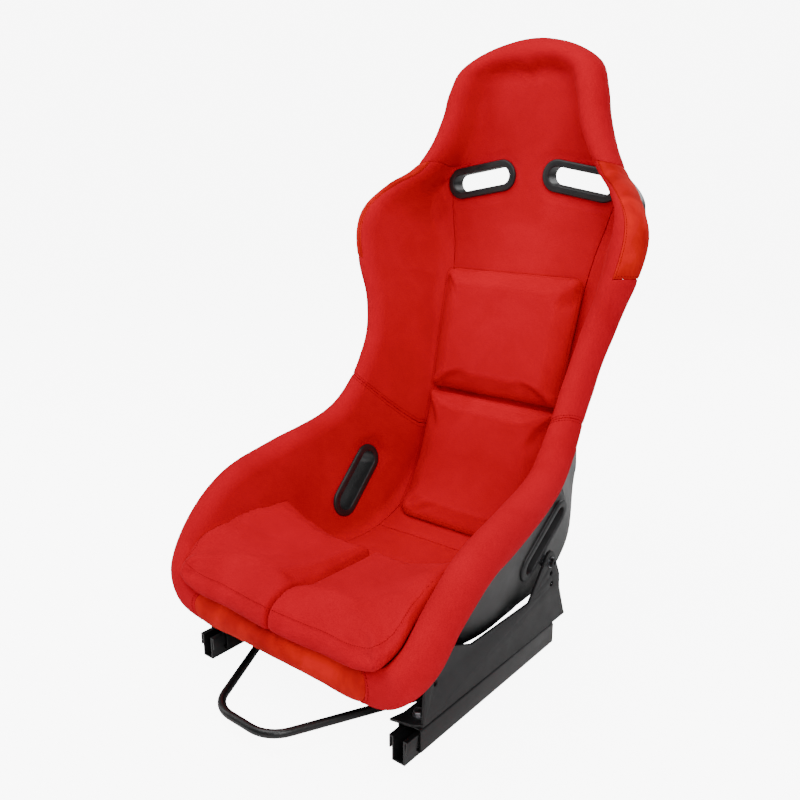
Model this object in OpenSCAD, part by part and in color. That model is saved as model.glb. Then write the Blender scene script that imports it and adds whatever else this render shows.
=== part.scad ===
// Fixed-back racing seat on sliding side-mount rails.
// Millimetres, +Z up. The origin is the centre of the floor bolt pattern, on the floor.
// The seat faces -Y and the occupant's left side is +X.

/* [Seat shell] */
// Distance between the outer faces of the two side brackets
bracket_span = 418; // [380:1:500]
// Height of the backrest above the seat pan
back_h = 800; // [650:5:960]
// Wall of the moulded shell
shell_wall = 4; // [3:0.5:5]
// Foam and cover on the seat pan and the middle of the back
centre_foam = 18; // [12:1:24]
// Gap between the cover and the shell
cover_gap = 0.5; // [0.3:0.1:1]

/* [Pads] */
// Thickness of the two back pads
back_pad_t = 27; // [14:1:32]
// Width of the upper back pad at its top edge
back_pad_w = 272; // [220:2:272]
// Height of the thigh lobes above the pan
thigh_pad_t = 46; // [30:1:56]
// Gap between a pad and the cover under it
pad_gap = 2; // [1.8:0.2:3]

/* [Harness slots] */
// Overall length of a slot bezel
bezel_l = 142; // [120:2:150]
// Overall width of a slot bezel
bezel_w = 54; // [48:1:58]
// Width of a bezel's rim, which leaves the webbing opening inside it
bezel_rim = 12; // [9:1:14]
// Height of the shoulder slots above the floor
shoulder_slot_z = 713; // [705:1:720]
// Distance of a shoulder slot's middle from the centre plane
shoulder_slot_x = 97; // [92:1:98]

/* [Side brackets] */
// Plate thickness of the side brackets
bracket_t = 4; // [3:0.5:5]
// Distance between the front and rear rows of holes
bracket_row_gap = 290; // [280:1:300]
// Vertical pitch of the three holes in a row
bracket_hole_pitch = 19.5; // [17:0.5:22]
// Height of the lowest hole in the front row
front_row_z = 96; // [92:1:100]
// Height of the lowest hole in the rear row
rear_row_z = 115; // [110:1:120]
// Diameter of the seat bolts
seat_bolt_d = 8; // [8:1:10]

/* [Rails] */
// Length of the fixed lower rail
lower_rail_l = 320; // [300:5:400]
// Length of the sliding upper rail
upper_rail_l = 340; // [320:5:400]
// Outer width of the upper rail
upper_rail_w = 38; // [34:1:44]
// Height of the upper rail's top face
rail_h = 44; // [40:1:50]
// Sheet thickness of both rails
rail_t = 2.5; // [2:0.5:3]
// How far the upper rail's middle stands behind the lower rail's
seat_setback = 33; // [20:1:40]
// How far the seat slides back from this position
travel_back = 60; // [40:5:60]
// How far it slides forward
travel_front = 100; // [60:5:100]
// Diameter of the rail balls
ball_d = 5; // [4:0.5:6]
// Distance between the front and rear floor bolts
floor_bolt_gap = 280; // [240:5:280]
// Diameter of the floor bolt holes
floor_hole_d = 8.5; // [8.5:0.5:10.5]

/* [Release handle] */
// Diameter of the handle bar
handle_d = 12; // [10:0.5:14]
// How far the handle's front bar stands in front of its pivot
handle_reach = 246; // [220:1:260]
// Half width of the handle's front bar
handle_half_w = 68; // [60:1:90]
// Diameter of the latch pivot pins
pivot_d = 8; // [6:1:10]

/* [Hidden] */
$fn = 48;
fit = 0.05;         // radial clearance of a running fit

RED = [0.84, 0.09, 0.10];
SUEDE = [0.88, 0.18, 0.14];
BLACK = [0.14, 0.14, 0.15];
STEEL = [0.62, 0.63, 0.65];

// ---- Loft of the seat ----
// The seat is lofted through half sections that fan from the front lip to the top of the head.
// Each row: rim tube centre x, y, z; centre line of the cover y, z; half width of the flat
// floor; radius of the rim roll; length of the wrap outside; half width of the shell's floor.
base_span = 418;    // bracket span that the section table is drawn for
base_back_h = 800;  // back height that the section table is drawn for
pan_z = 120;
SECTIONS = [
    [0, -180, 112, -130, 132, 20, 24, 27, 20],
    [80, -183, 112, -126, 131, 60, 24, 27, 60],
    [145, -186, 113, -118, 130, 110, 25, 27, 110],
    [195, -184, 124, -106, 129, 145, 26, 26, 160],
    [222, -160, 155, -88, 127, 160, 27, 40, 182],
    [230, -118, 205, -60, 124, 165, 27, 46, 190],
    [231, -55, 248, -15, 120, 166, 28, 48, 194],
    [228, 30, 270, 50, 115, 166, 28, 46, 196],
    [222, 95, 284, 125, 112, 164, 27, 40, 190],
    [215, 148, 300, 195, 117, 160, 26, 36, 187],
    [208, 185, 322, 250, 142, 156, 26, 34, 184],
    [204, 214, 353, 288, 195, 153, 25, 34, 184],
    [202, 242, 393, 315, 262, 150, 25, 36, 178],
    [204, 267, 440, 340, 345, 148, 25, 40, 174],
    [217, 287, 505, 368, 450, 148, 26, 42, 172],
    [236, 292, 565, 392, 535, 150, 27, 44, 176],
    [247, 298, 620, 410, 600, 158, 27, 44, 184],
    [242, 313, 660, 421, 650, 170, 27, 44, 188],
    [215, 343, 697, 427, 692, 176, 26, 42, 188],
    [180, 372, 727, 428, 728, 150, 25, 40, 164],
    [152, 388, 767, 425, 770, 120, 25, 38, 136],
    [133, 397, 812, 420, 810, 98, 25, 38, 114],
    [123, 403, 852, 418, 838, 88, 25, 38, 104],
    [105, 413, 888, 417, 858, 72, 25, 36, 86],
    [58, 423, 909, 418, 868, 54, 25, 34, 64],
    [0, 428, 914, 419, 872, 48, 25, 34, 58]];
LAST = len(SECTIONS) - 1;

function fit_to_span(r) =
    let (kx = bracket_span / base_span, kz = back_h / base_back_h)
    let (lift = function (z) z < pan_z ? z : pan_z + (z - pan_z) * kz)
    [r[0] * kx, r[1], lift(r[2]), r[3], lift(r[4]), r[5] * kx, r[6], r[7], r[8] * kx];

function row(i) = fit_to_span(SECTIONS[i]);
// past either end of the table the next row is the mirror image of the one before it
function row_past(i) = i < 0 ? flip_x(row(-i)) : i > LAST ? flip_x(row(2 * LAST - i)) : row(i);
function flip_x(r) = [for (k = [0:len(r) - 1]) k == 0 ? -r[k] : r[k]];

function spline(p, t) = 0.5 * (2 * p[1] + (p[2] - p[0]) * t
    + (2 * p[0] - 5 * p[1] + 4 * p[2] - p[3]) * t * t + (3 * (p[1] - p[2]) + p[3] - p[0]) * t ^ 3);
function station(t) = let (i = min(floor(t), LAST - 1))
    spline([row_past(i - 1), row(i), row(i + 1), row_past(i + 2)], t - i);

function unit(v) = v / norm(v);
function spine(t) = let (s = station(t)) [0, s[3], s[4]];
function rim(t) = let (s = station(t)) [s[0], s[1], s[2]];
function along(f, t) = unit(f(min(t + 0.05, LAST)) - f(max(t - 0.05, 0)));
function spine_normal(t) = let (a = along(function (u) spine(u), t)) [0, -a[2], a[1]];
// direction in which the rim roll stands up: square to the rim, and out of the seat's hollow
function roll_dir(t) =
    let (n = spine_normal(t), g = t < 0.1 || t > LAST - 0.1 ? [1, 0, 0] : along(function (u) rim(u), t))
    unit(n - (n * g) * g);
function square_to(v, n) = unit(v - (v * n) * n);

// Points along a section, as [lateral, depth] pairs.
FLOOR = 3; CORNER = 3; SLOPE = 2; ROLL = 8; WRAP = 2;
J_CORNER = FLOOR;                    // where the floor ends
J_SLOPE = FLOOR + CORNER;
J_ROLL = J_SLOPE + SLOPE;            // where the rim roll begins
J_WRAP = J_ROLL + ROLL;              // where it ends
J_END = J_WRAP + WRAP;
round_k = 18;                        // length of the rounding where the floor meets the bolster
hem_t = 2.5;                         // thickness of the cover at its hem
wrap_gap = 2.4;                      // how far the wrap's facets lie off the shell's

function polar(r, a) = r * [cos(a), sin(a)];
function mix(a, b, f) = a + (b - a) * f;
function bend(a, b, c, f) = mix(mix(a, b, f), mix(b, c, f), f);

function section_2d(t) =
    let (s = station(t), d = spine_normal(t), off = rim(t) - spine(t))
    let (h = off * d, lat = off - h * d, cx = norm(lat), c = [cx, h], r = s[6])
    let (k = [min(s[5], cx - r - 4), 0], v = c - k, dist = norm(v))
    let (rr = min(r, dist - 1), ang = atan2(v[1], v[0]) + asin(rr / dist))
    let (touch = k + polar(sqrt(dist ^ 2 - rr ^ 2), ang))
    let (ks = [min(s[8], cx - 8), -centre_foam], as = atan2(c[1] - ks[1], c[0] - ks[0]))
    let (along_wall = polar(1, as), outward = polar(1, as - 90))
    let (a = k - [min(round_k, k[0] * 0.4), 0])
    let (b = k + polar(min(round_k, norm(touch - k) * 0.5), ang))
    let (wall_l = norm(c - ks) - round_k, wrap = min(s[7], wall_l - 1))
    let (skin = concat(
        [for (i = [0:FLOOR - 1]) mix([0, 0], a, i / FLOOR)],
        [for (i = [0:CORNER - 1]) bend(a, k, b, i / CORNER)],
        [for (i = [0:SLOPE - 1]) mix(b, touch, i / SLOPE)],
        [for (i = [0:ROLL]) c + polar(rr, mix(ang + 90, as - 90, i / ROLL))]))
    let (skin_lift = [for (i = [0:WRAP])
        mix(rr - shell_wall, wrap_gap + hem_t, i / WRAP) + 1.5 * sin(180 * i / WRAP)])
    let (q0 = [0, -centre_foam + cover_gap], q1 = [ks[0] - round_k, q0[1]])
    let (qc = ks + [0, cover_gap] - cover_gap * outward)
    let (q2 = ks + round_k * along_wall - cover_gap * outward)
    let (q3 = c + cover_gap * (along_wall - outward), w = shell_wall + cover_gap)
    let (q4 = c + cover_gap * along_wall + w * outward)
    let (back = concat(
        [for (i = [0:FLOOR - 1]) mix(q0, q1, i / FLOOR)],
        [for (i = [0:CORNER - 1]) bend(q1, qc, q2, i / CORNER)],
        [for (i = [0:SLOPE - 1]) mix(q2, q3, i / SLOPE)],
        [for (i = [0:ROLL]) mix(q3, q4, i / ROLL)]))
    let (g0 = [0, -centre_foam], g1 = [ks[0] - round_k, g0[1]], g2 = ks + round_k * along_wall)
    let (shell_in = concat(
        [for (i = [0:FLOOR - 1]) mix(g0, g1, i / FLOOR)],
        [for (i = [0:CORNER - 1]) bend(g1, ks, g2, i / CORNER)],
        [for (i = [0:SLOPE]) mix(g2, c, i / SLOPE)]))
    let (o0 = g0 - [0, shell_wall], o1 = g1 - [0, shell_wall])
    let (oc = ks - [0, shell_wall] + shell_wall * outward, o2 = g2 + shell_wall * outward)
    let (shell_out = concat(
        [for (i = [0:FLOOR - 1]) mix(o0, o1, i / FLOOR)],
        [for (i = [0:CORNER - 1]) bend(o1, oc, o2, i / CORNER)],
        [for (i = [0:SLOPE]) mix(o2, c + shell_wall * outward, i / SLOPE)]))
    [skin, back, shell_in, shell_out, J_ROLL - SLOPE * wrap / wall_l, outward,
        skin_lift, [for (i = [0:WRAP]) wrap_gap]];

// The floor of a section lies square to the centre line and its roll square to the rim;
// the points between them turn from one to the other.
function axes(t) =
    let (s = spine(t), c = rim(t), off = c - s, n = spine_normal(t), up = roll_dir(t))
    let (lat = square_to(off, n))
    [s, c, lat, n, square_to(off, up), up, [off * lat, off * n]];
function put(f, p, j) =
    let (q = p - f[6], g = min(1, max(0, j - J_CORNER) / (J_ROLL - J_CORNER)), w = g * g * (3 - 2 * g))
    mix(f[0] + p[0] * f[2] + p[1] * f[3], f[1] + q[0] * f[4] + q[1] * f[5], w);
// One skin of section q as points of the seat. The wrap follows the outer face of the shell's wall,
// down to where the hem lies on it.
function place(q, which, t) =
    let (f = axes(t), own = [for (j = [0:len(q[which]) - 1]) put(f, q[which][j], j)])
    which > 1 ? own : let (wall = place(q, 3, t), o = q[5][0] * f[4] + q[5][1] * f[5])
    concat(own, [for (i = [1:WRAP]) pick(wall, mix(J_ROLL, q[4], i / WRAP)) + q[6 + which][i] * o]);
function skin_point(t, j, which) = pick(place(section_2d(t), which, t), j);
function pick(pts, j) = let (i = min(floor(j), len(pts) - 2)) mix(pts[i], pts[i + 1], j - i);

// Stations of every loft, with the seams in place of the nearest half stations, so that
// pieces that lie on each other have matching facets.
function snap(t) =
    t == 11.5 ? T_BOLSTER : t == 15 ? T_HEAD : t == 15.5 ? T_PATCH : t == 19.5 ? T_HEAD_SIDE : t;
function stations(ta, tb) = concat([ta],
    [for (k = [0:2 * LAST]) let (t = snap(k / 2)) if (t > ta + 0.1 && t < tb - 0.1) t], [tb]);
// Closed solid between two skins over stations ta..tb and points lo..hi of the section.
// side 1 is the occupant's left half, -1 the right half and 0 both halves joined.
module loft_solid(ta, tb, lo, hi, side, which = [0, 1]) {
    ts = stations(ta, tb);
    nt = len(ts) - 1;
    nj = ceil(hi - lo);
    secs = [for (t = ts) let (q = section_2d(t)) [for (w = which) place(q, w, t)]];
    size = (nt + 1) * (nj + 1);
    centred = side == 0 && lo == 0;
    function point(w, i, j, m) = let (p = pick(secs[i][w], j == 0 ? lo : floor(lo) + j))
        [centred && j == 0 ? 0 : p[0] * m, p[1], p[2]];
    halves = side == 0 ? [1, -1] : [side];
    points = [for (m = halves) for (w = [0, 1]) for (i = [0:nt]) for (j = [0:nj]) point(w, i, j, m)];
    // on the centre plane the right half uses the left half's points
    function shared(i, j) = side == 0
        && ((j == 0 && centred) || (i == 0 && ta == 0) || (i == nt && tb == LAST));
    function id(h, w, i, j) = (shared(i, j) ? 0 : h * 2 * size) + w * size + i * (nj + 1) + j;
    // two triangles, split from a to c or from b to d, so that none lies flat on the centre plane
    function quad(flip, ac, a, b, c, d) = let (q = flip ? [a, b, c, d] : [d, c, b, a])
        flip == ac ? [[q[0], q[1], q[2]], [q[0], q[2], q[3]]] : [[q[1], q[2], q[3]], [q[1], q[3], q[0]]];
    faces = [for (h = [0:len(halves) - 1]) let (f = halves[h] < 0)
        each concat(
            [for (i = [0:nt - 1]) for (j = [0:nj - 1]) for (w = [0, 1])
                each quad(w == 0 ? f : !f, ts[i] < LAST / 2,
                    id(h, w, i, j), id(h, w, i, j + 1), id(h, w, i + 1, j + 1), id(h, w, i + 1, j))],
            [for (i = [0:nt - 1]) each quad(f, false,
                id(h, 0, i + 1, nj), id(h, 0, i, nj), id(h, 1, i, nj), id(h, 1, i + 1, nj))],
            centred ? [] : [for (i = [0:nt - 1]) each quad(!f, false,
                id(h, 0, i + 1, 0), id(h, 0, i, 0), id(h, 1, i, 0), id(h, 1, i + 1, 0))],
            side == 0 && ta == 0 ? [] : [for (j = [0:nj - 1]) each quad(f, false,
                id(h, 0, 0, j + 1), id(h, 0, 0, j), id(h, 1, 0, j), id(h, 1, 0, j + 1))],
            side == 0 && tb == LAST ? [] : [for (j = [0:nj - 1]) each quad(!f, false,
                id(h, 0, nt, j + 1), id(h, 0, nt, j), id(h, 1, nt, j), id(h, 1, nt, j + 1))])];
    polyhedron(points, faces, convexity = 10);
}

function mirror_x(side) = [side, 1, 1];

// ---- Harness slots ----
// Each slot has its own axes: X along the slot, Z out of the seat, origin on the cover.
lap_t = 8.8;             // where the lap slot lies in the loft
lap_j = 6.8;
lap_slope = 42;
shoulder_slope = -10;
lap_skin = skin_point(lap_t, lap_j, 0);
lap_out = unit(cross(
    skin_point(lap_t + 0.2, lap_j, 0) - lap_skin,
    skin_point(lap_t, lap_j + 0.2, 0) - lap_skin));
shoulder_skin = [shoulder_slot_x, spine(18.6)[1], shoulder_slot_z];
shoulder_depth = centre_foam + shell_wall;
lap_depth = (skin_point(lap_t, lap_j, 3) - lap_skin) * lap_out + 1;
bezel_rise = 4.5;        // how far a bezel stands proud
bezel_sink = 1.5;        // how far its back lies below the cover
sleeve_t = 2;            // wall of the sleeve that lines the slot
slot_gap = 0.5;

module at_slot(origin, long, out) {
    y = cross(out, long);
    multmatrix([[long[0], y[0], out[0], origin[0]], [long[1], y[1], out[1], origin[1]],
        [long[2], y[2], out[2], origin[2]], [0, 0, 0, 1]]) children();
}
module at_shoulder() {
    at_slot(shoulder_skin, [cos(shoulder_slope), 0, sin(shoulder_slope)], [0, 1, 0]) children();
}
module at_lap() {
    at_slot(lap_skin, square_to([0, cos(lap_slope), sin(lap_slope)], lap_out), lap_out) children();
}
module stadium(l, w) {
    square([l - w, w], center = true);
    for (m = [-1, 1]) translate([m * (l - w) / 2, 0]) circle(d = w);
}
module stadium_block(l, w, z0, z1) {
    translate([0, 0, z0]) linear_extrude(z1 - z0) stadium(l, w);
}
module bezel(z0, z1, sleeve_to) {
    opening_l = bezel_l - 2 * bezel_rim;
    opening_w = bezel_w - 2 * bezel_rim;
    difference() {
        union() {
            stadium_block(bezel_l, bezel_w, min(z0, z1) + (z0 < sleeve_to ? 1.5 : 0),
                max(z0, z1) - (z0 < sleeve_to ? 0 : 1.5));
            stadium_block(bezel_l - 3, bezel_w - 3, min(z0, z1), max(z0, z1));
            stadium_block(opening_l + 2 * sleeve_t, opening_w + 2 * sleeve_t,
                min(z0, z1, sleeve_to), max(z0, z1, sleeve_to));
        }
        stadium_block(opening_l, opening_w, min(z0, sleeve_to) - 1, max(z1, sleeve_to) + 1);
    }
}
// what a slot removes from the cover and the shell: the sleeve's hole and the bezel's seat
module slot_cut(depth) {
    opening_l = bezel_l - 2 * bezel_rim + 2 * (sleeve_t + slot_gap);
    opening_w = bezel_w - 2 * bezel_rim + 2 * (sleeve_t + slot_gap);
    stadium_block(opening_l, opening_w, -60, depth + 20);
    stadium_block(bezel_l + 2 * slot_gap, bezel_w + 2 * slot_gap,
        -bezel_rise - slot_gap, bezel_sink + slot_gap);
    stadium_block(bezel_l + 2 * slot_gap, bezel_w + 2 * slot_gap, depth, depth + 20);
}
module slot_cuts(side, shoulder = true, lap = true) {
    for (m = side == 0 ? [1, -1] : [side]) scale(mirror_x(m)) {
        if (shoulder) at_shoulder() slot_cut(shoulder_depth);
        if (lap) at_lap() slot_cut(lap_depth);
    }
}
// a lofted piece takes its openings as one mesh
module pierced() { resize([0, 0, 0]) difference() { children(0); children(1); } }

// ---- Shell and covers ----
seam = 0.02;             // half gap between two panels along the loft
edge = 0.1;              // gap between the centre panels and the bolsters, across it
T_BACK = 9;              // seams: base to back, back to head, thigh to back bolster,
T_HEAD = 14.8;           // back bolster to shoulder patch, patch to head
T_BOLSTER = 11.3;
T_PATCH = 15.2;
T_HEAD_SIDE = 19.3;
J_BOLSTER = J_CORNER + edge;
J_PATCH = 11;            // inner edge of the shoulder patch

module seat_shell() {
    color(BLACK) pierced() {
        loft_solid(0, LAST, 0, J_ROLL, 0, [2, 3]);
        union() {
            slot_cuts(0);
            each_seat_bolt() cylinder(r = boss_r, h = 40);
        }
    }
}
module head_cover() {
    color(RED) pierced() {
        union() {
            loft_solid(T_HEAD + seam, T_HEAD_SIDE, 0, J_CORNER, 0);
            loft_solid(T_HEAD_SIDE, LAST, 0, J_END, 0);
        }
        slot_cuts(0, lap = false);
    }
}
module back_panel_cover() {
    color(RED) loft_solid(T_BACK + seam, T_HEAD - seam, 0, J_CORNER, 0);
}
module seat_base_cover() {
    color(RED) loft_solid(0, T_BACK - seam, 0, J_CORNER, 0);
}
module thigh_bolster(side) {
    color(RED) pierced() {
        loft_solid(2 + seam, T_BOLSTER - seam, J_BOLSTER, J_END, side);
        slot_cuts(side, shoulder = false);
    }
}
module back_bolster(side) {
    color(RED) pierced() {
        union() {
            loft_solid(T_BOLSTER + seam, T_PATCH, J_BOLSTER, J_END, side);
            loft_solid(T_PATCH, T_HEAD_SIDE - 2 * seam, J_BOLSTER, J_PATCH, side);
        }
        slot_cuts(side, lap = false);
    }
}
module shoulder_patch(side) {
    color(SUEDE) loft_solid(T_PATCH + seam, T_HEAD_SIDE - 2 * seam, J_PATCH + edge, J_END, side);
}
module front_lip_cover() {
    color(SUEDE) loft_solid(0, 2 - seam, J_BOLSTER, J_END, 0);
}

// ---- Back pads ----
T_PAD_TOP = 15.3;
T_PAD_SPLIT = 12.98;
T_PAD_LOW = 9.55;
pad_split = 3;           // gap between the two pads
pad_round = 30;

// side view of a back pad, over stations ta..tb of the centre line
function pad_side(ta, tb) = let (n = 12)
    [for (i = [0:2 * n + 1]) let (f = i <= n ? i / n : (2 * n + 1 - i) / n, t = mix(ta, tb, f))
        let (h = i <= n ? pad_gap : pad_gap + back_pad_t * (1 - 0.45 * abs(2 * f - 1) ^ 5))
        let (p = spine(t) + h * spine_normal(t)) [p[1], p[2]]];
module back_pad(ta, tb, half_low, half_top, round_low, round_top) {
    kx = bracket_span / base_span;
    z0 = spine(ta)[2] - 20;
    z1 = spine(tb)[2] + 20;
    rise = spine(tb)[2] - spine(ta)[2];
    edges = [for (z = [z0, z1]) kx * mix(half_low, half_top, (z - spine(ta)[2]) / rise)];
    color(RED) intersection() {
        rotate([90, 0, 90]) linear_extrude(400, center = true) polygon(pad_side(ta, tb));
        translate([0, 500, 0]) rotate([90, 0, 0]) linear_extrude(500)
            polygon([[-edges[0], z0], [edges[0], z0], [edges[1], z1], [-edges[1], z1]]);
        translate([0, 500, 0]) rotate([90, 0, 0]) linear_extrude(500)
            polygon([for (m = [-1, 1])
                each pad_corner(ta, tb, kx * half_low, kx * half_top, round_low, round_top, m)]);
    }
}
// outline of one side of a pad in the front view, with its corners cut
function pad_corner(ta, tb, w0, w1, c0, c1, m) =
    let (low = pad_side(ta, tb)[25][1] - 2, top = pad_side(ta, tb)[13][1] + 6)
    let (p = [[w0 - c0, low], [w0, low + c0], [w1, top - c1], [w1 - c1, top]])
    [for (i = m < 0 ? [0:3] : [3:-1:0]) [m * p[i][0], p[i][1]]];
module back_pad_upper() {
    back_pad(T_PAD_SPLIT + 0.03, T_PAD_TOP, 129, back_pad_w / 2, 4, 14);
}
module back_pad_lower() {
    back_pad(T_PAD_LOW, T_PAD_SPLIT - 0.03, 129, 129, pad_round, 4);
}

// ---- Thigh lobes ----
T_LOBE = 6.5;            // where the lobes end
// Each row, over stations 0, 1, 2 ...: how far the pad's edge reaches along the section,
// how far it then stands forward and up from the cover, and its rounded top edge: x, y, z
// from that edge. The last two are the heights of the centre split and of the lobe's crown.
LOBE = [
    [9.6, -12, 15, 0, 9, 28, 176, 200],
    [9.6, -12, 13, 0, 9, 30, 177, 203],
    [9.6, -14, 10, -2, 9, 32, 178, 205],
    [9.2, -14, 8, -8, 10, 28, 178, 204],
    [8.4, -6, 4, -12, 8, 18, 177, 197],
    [7.4, -1, 3, -12, 3, 13, 176, 188],
    [7.0, 0, 3, -12, 2, 12, 175, 184],
    [6.9, 0, 3, -12, 2, 12, 175, 184]];
function lobe_row(t) = let (i = min(floor(t), len(LOBE) - 2)) mix(LOBE[i], LOBE[i + 1], t - i);
// a point of the cover, moved off it by pad_gap
function off_cover(t, j) =
    let (q = section_2d(t)[0], p = pick(q, j), d = unit(pick(q, j + 0.3) - pick(q, max(j - 0.3, 0))))
    put(axes(t), p + pad_gap * [-d[1], d[0]], j);
function lobe_edge(t) = let (r = lobe_row(t)) off_cover(t, r[0]) + [0, r[1], r[2]];
// lower then upper skin across a lobe, f from the split to the outer edge
function lobe_low(t, f) = f < 0.85 ? off_cover(t, lobe_row(t)[0] * f / 0.85)
    : mix(off_cover(t, lobe_row(t)[0]), lobe_edge(t), (f - 0.85) / 0.15);
function lobe_top(t, f) =
    let (r = lobe_row(t), e = lobe_edge(t), top = e + [r[3], r[4], r[5]], k = thigh_pad_t / 46)
    let (m = [0, spine(t)[1], pan_z + (r[6] - pan_z) * k])
    let (crown = [0.55 * top[0], mix(m[1], top[1], 0.5), pan_z + (r[7] - pan_z) * k])
    f < 0.85 ? bend(m, crown, top, f / 0.85) : mix(top, e, (f - 0.85) / 0.15);
module thigh_pad(side) {
    nt = 13;
    nj = 13;
    size = (nt + 1) * (nj + 1);
    ts = [for (i = [0:nt]) T_LOBE * i / nt];
    points = [for (w = [0, 1]) for (t = ts) for (j = [0:nj])
        let (f = j / nj, p = w == 0 ? lobe_low(t, f) : lobe_top(t, min(f, 0.999)))
        [side * max(p[0], 0.8), p[1], p[2]]];
    function id(w, i, j) = (w == 1 && j == nj ? 0 : w * size) + i * (nj + 1) + j;
    function tri(a, b, c) = side > 0 ? [a, b, c] : [c, b, a];
    function quad(a, b, c, d) = [tri(a, b, c), tri(a, c, d)];
    faces = concat(
        [for (i = [0:nt - 1]) for (j = [0:nj - 1])
            each quad(id(0, i, j), id(0, i, j + 1), id(0, i + 1, j + 1), id(0, i + 1, j))],
        [for (i = [0:nt - 1]) for (j = [0:nj - 1])
            each quad(id(1, i, j), id(1, i + 1, j), id(1, i + 1, j + 1), id(1, i, j + 1))],
        [for (i = [0:nt - 1]) each quad(id(0, i, 0), id(0, i + 1, 0), id(1, i + 1, 0), id(1, i, 0))],
        [for (j = [0:nj - 2]) each quad(id(0, 0, j + 1), id(0, 0, j), id(1, 0, j), id(1, 0, j + 1))],
        [for (j = [0:nj - 2]) each quad(id(0, nt, j), id(0, nt, j + 1), id(1, nt, j + 1), id(1, nt, j))],
        [tri(id(0, 0, nj), id(0, 0, nj - 1), id(1, 0, nj - 1)),
            tri(id(0, nt, nj - 1), id(0, nt, nj), id(1, nt, nj - 1))]);
    color(RED) polyhedron(points, faces, convexity = 6);
}

// ---- Bezels ----
module shoulder_bezels_front() {
    color(BLACK) for (m = [1, -1]) scale(mirror_x(m)) at_shoulder()
        bezel(-bezel_rise, bezel_sink, shoulder_depth / 2);
}
module shoulder_bezels_rear() {
    color(BLACK) for (m = [1, -1]) scale(mirror_x(m)) at_shoulder()
        bezel(shoulder_depth + 0.3, shoulder_depth + 4.5, shoulder_depth / 2 + 0.1);
}
module lap_bezels_inner() {
    color(BLACK) for (m = [1, -1]) scale(mirror_x(m)) at_lap()
        bezel(-bezel_rise, bezel_sink, lap_depth / 2);
}
module lap_bezels_outer() {
    color(BLACK) for (m = [1, -1]) scale(mirror_x(m)) at_lap()
        bezel(lap_depth + 0.3, lap_depth + 4.5, lap_depth / 2 + 0.1);
}

// ---- Side brackets and seat bolts ----
bracket_x = bracket_span / 2;
rows_y = 44;             // middle between the two rows of holes
front_lean = 5;          // how far each hole stands behind the one below it
rear_lean = -3;
bolt_gap = 0.25;         // clearance round a bolt
spacer_t = 4;
boss_r = 10;
boss_sink = 0.2;         // how deep a boss sits in the shell's wall
washer_t = 1.6;
function hole(rear, i) = [rows_y + (rear ? 1 : -1) * bracket_row_gap / 2
    + (rear ? rear_lean : front_lean) * (i - 1), (rear ? rear_row_z : front_row_z) + bracket_hole_pitch * i];
// the shell's outer wall beside the seat bolts
wall_x = [skin_point(5, 5.9, 3)[0], skin_point(8.9, 6.4, 3)[0]];
spacer_x = bracket_x - bracket_t - spacer_t;

// places children on each seat bolt's axis, at the boss's foot, pointing outwards
module each_seat_bolt(sides = [1, -1]) {
    for (m = sides) for (k = [0, 1]) let (h = hole(k == 1, 2))
        scale(mirror_x(m)) translate([wall_x[k] - boss_sink, h[0], h[1]]) rotate([0, 90, 0]) children();
}
module each_seat_bolt_at(x) {
    for (m = [1, -1]) for (k = [0, 1]) let (h = hole(k == 1, 2))
        scale(mirror_x(m)) translate([x, h[0], h[1]]) rotate([0, 90, 0]) children();
}
module ring(r_out, r_in, h) {
    difference() {
        cylinder(r = r_out, h = h);
        translate([0, 0, -1]) cylinder(r = r_in, h = h + 2);
    }
}
module shell_inserts() {
    color(STEEL) for (m = [1, -1]) for (k = [0, 1]) let (h = hole(k == 1, 2), x = wall_x[k] - boss_sink)
        scale(mirror_x(m)) translate([x, h[0], h[1]]) rotate([0, 90, 0])
            ring(boss_r - 0.1, seat_bolt_d / 2, spacer_x - x);
}
module bracket_spacers() {
    color(STEEL) each_seat_bolt_at(spacer_x) ring(boss_r - 1, seat_bolt_d / 2 + bolt_gap, spacer_t);
}
module seat_bolt_washers() {
    color(STEEL) each_seat_bolt_at(bracket_x) ring(8.5, seat_bolt_d / 2 + bolt_gap, washer_t);
}
// button-head bolts, their thread ending inside the boss
module seat_bolts() {
    head_r = seat_bolt_d * 0.9;
    head_h = seat_bolt_d * 0.55;
    color(BLACK) for (m = [1, -1]) for (k = [0, 1]) let (h = hole(k == 1, 2), x = wall_x[k] - boss_sink / 2)
        scale(mirror_x(m)) translate([x, h[0], h[1]]) rotate([0, 90, 0]) difference() {
            union() {
                cylinder(d = seat_bolt_d, h = bracket_x + washer_t - x);
                translate([0, 0, bracket_x + washer_t - x]) cylinder(r = head_r, h = head_h * 0.6);
                translate([0, 0, bracket_x + washer_t - x]) cylinder(r = head_r * 0.8, h = head_h);
            }
            translate([0, 0, bracket_x + washer_t + 1 - x])
                cylinder(r = seat_bolt_d * 0.36, h = head_h, $fn = 6);
        }
}

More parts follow.
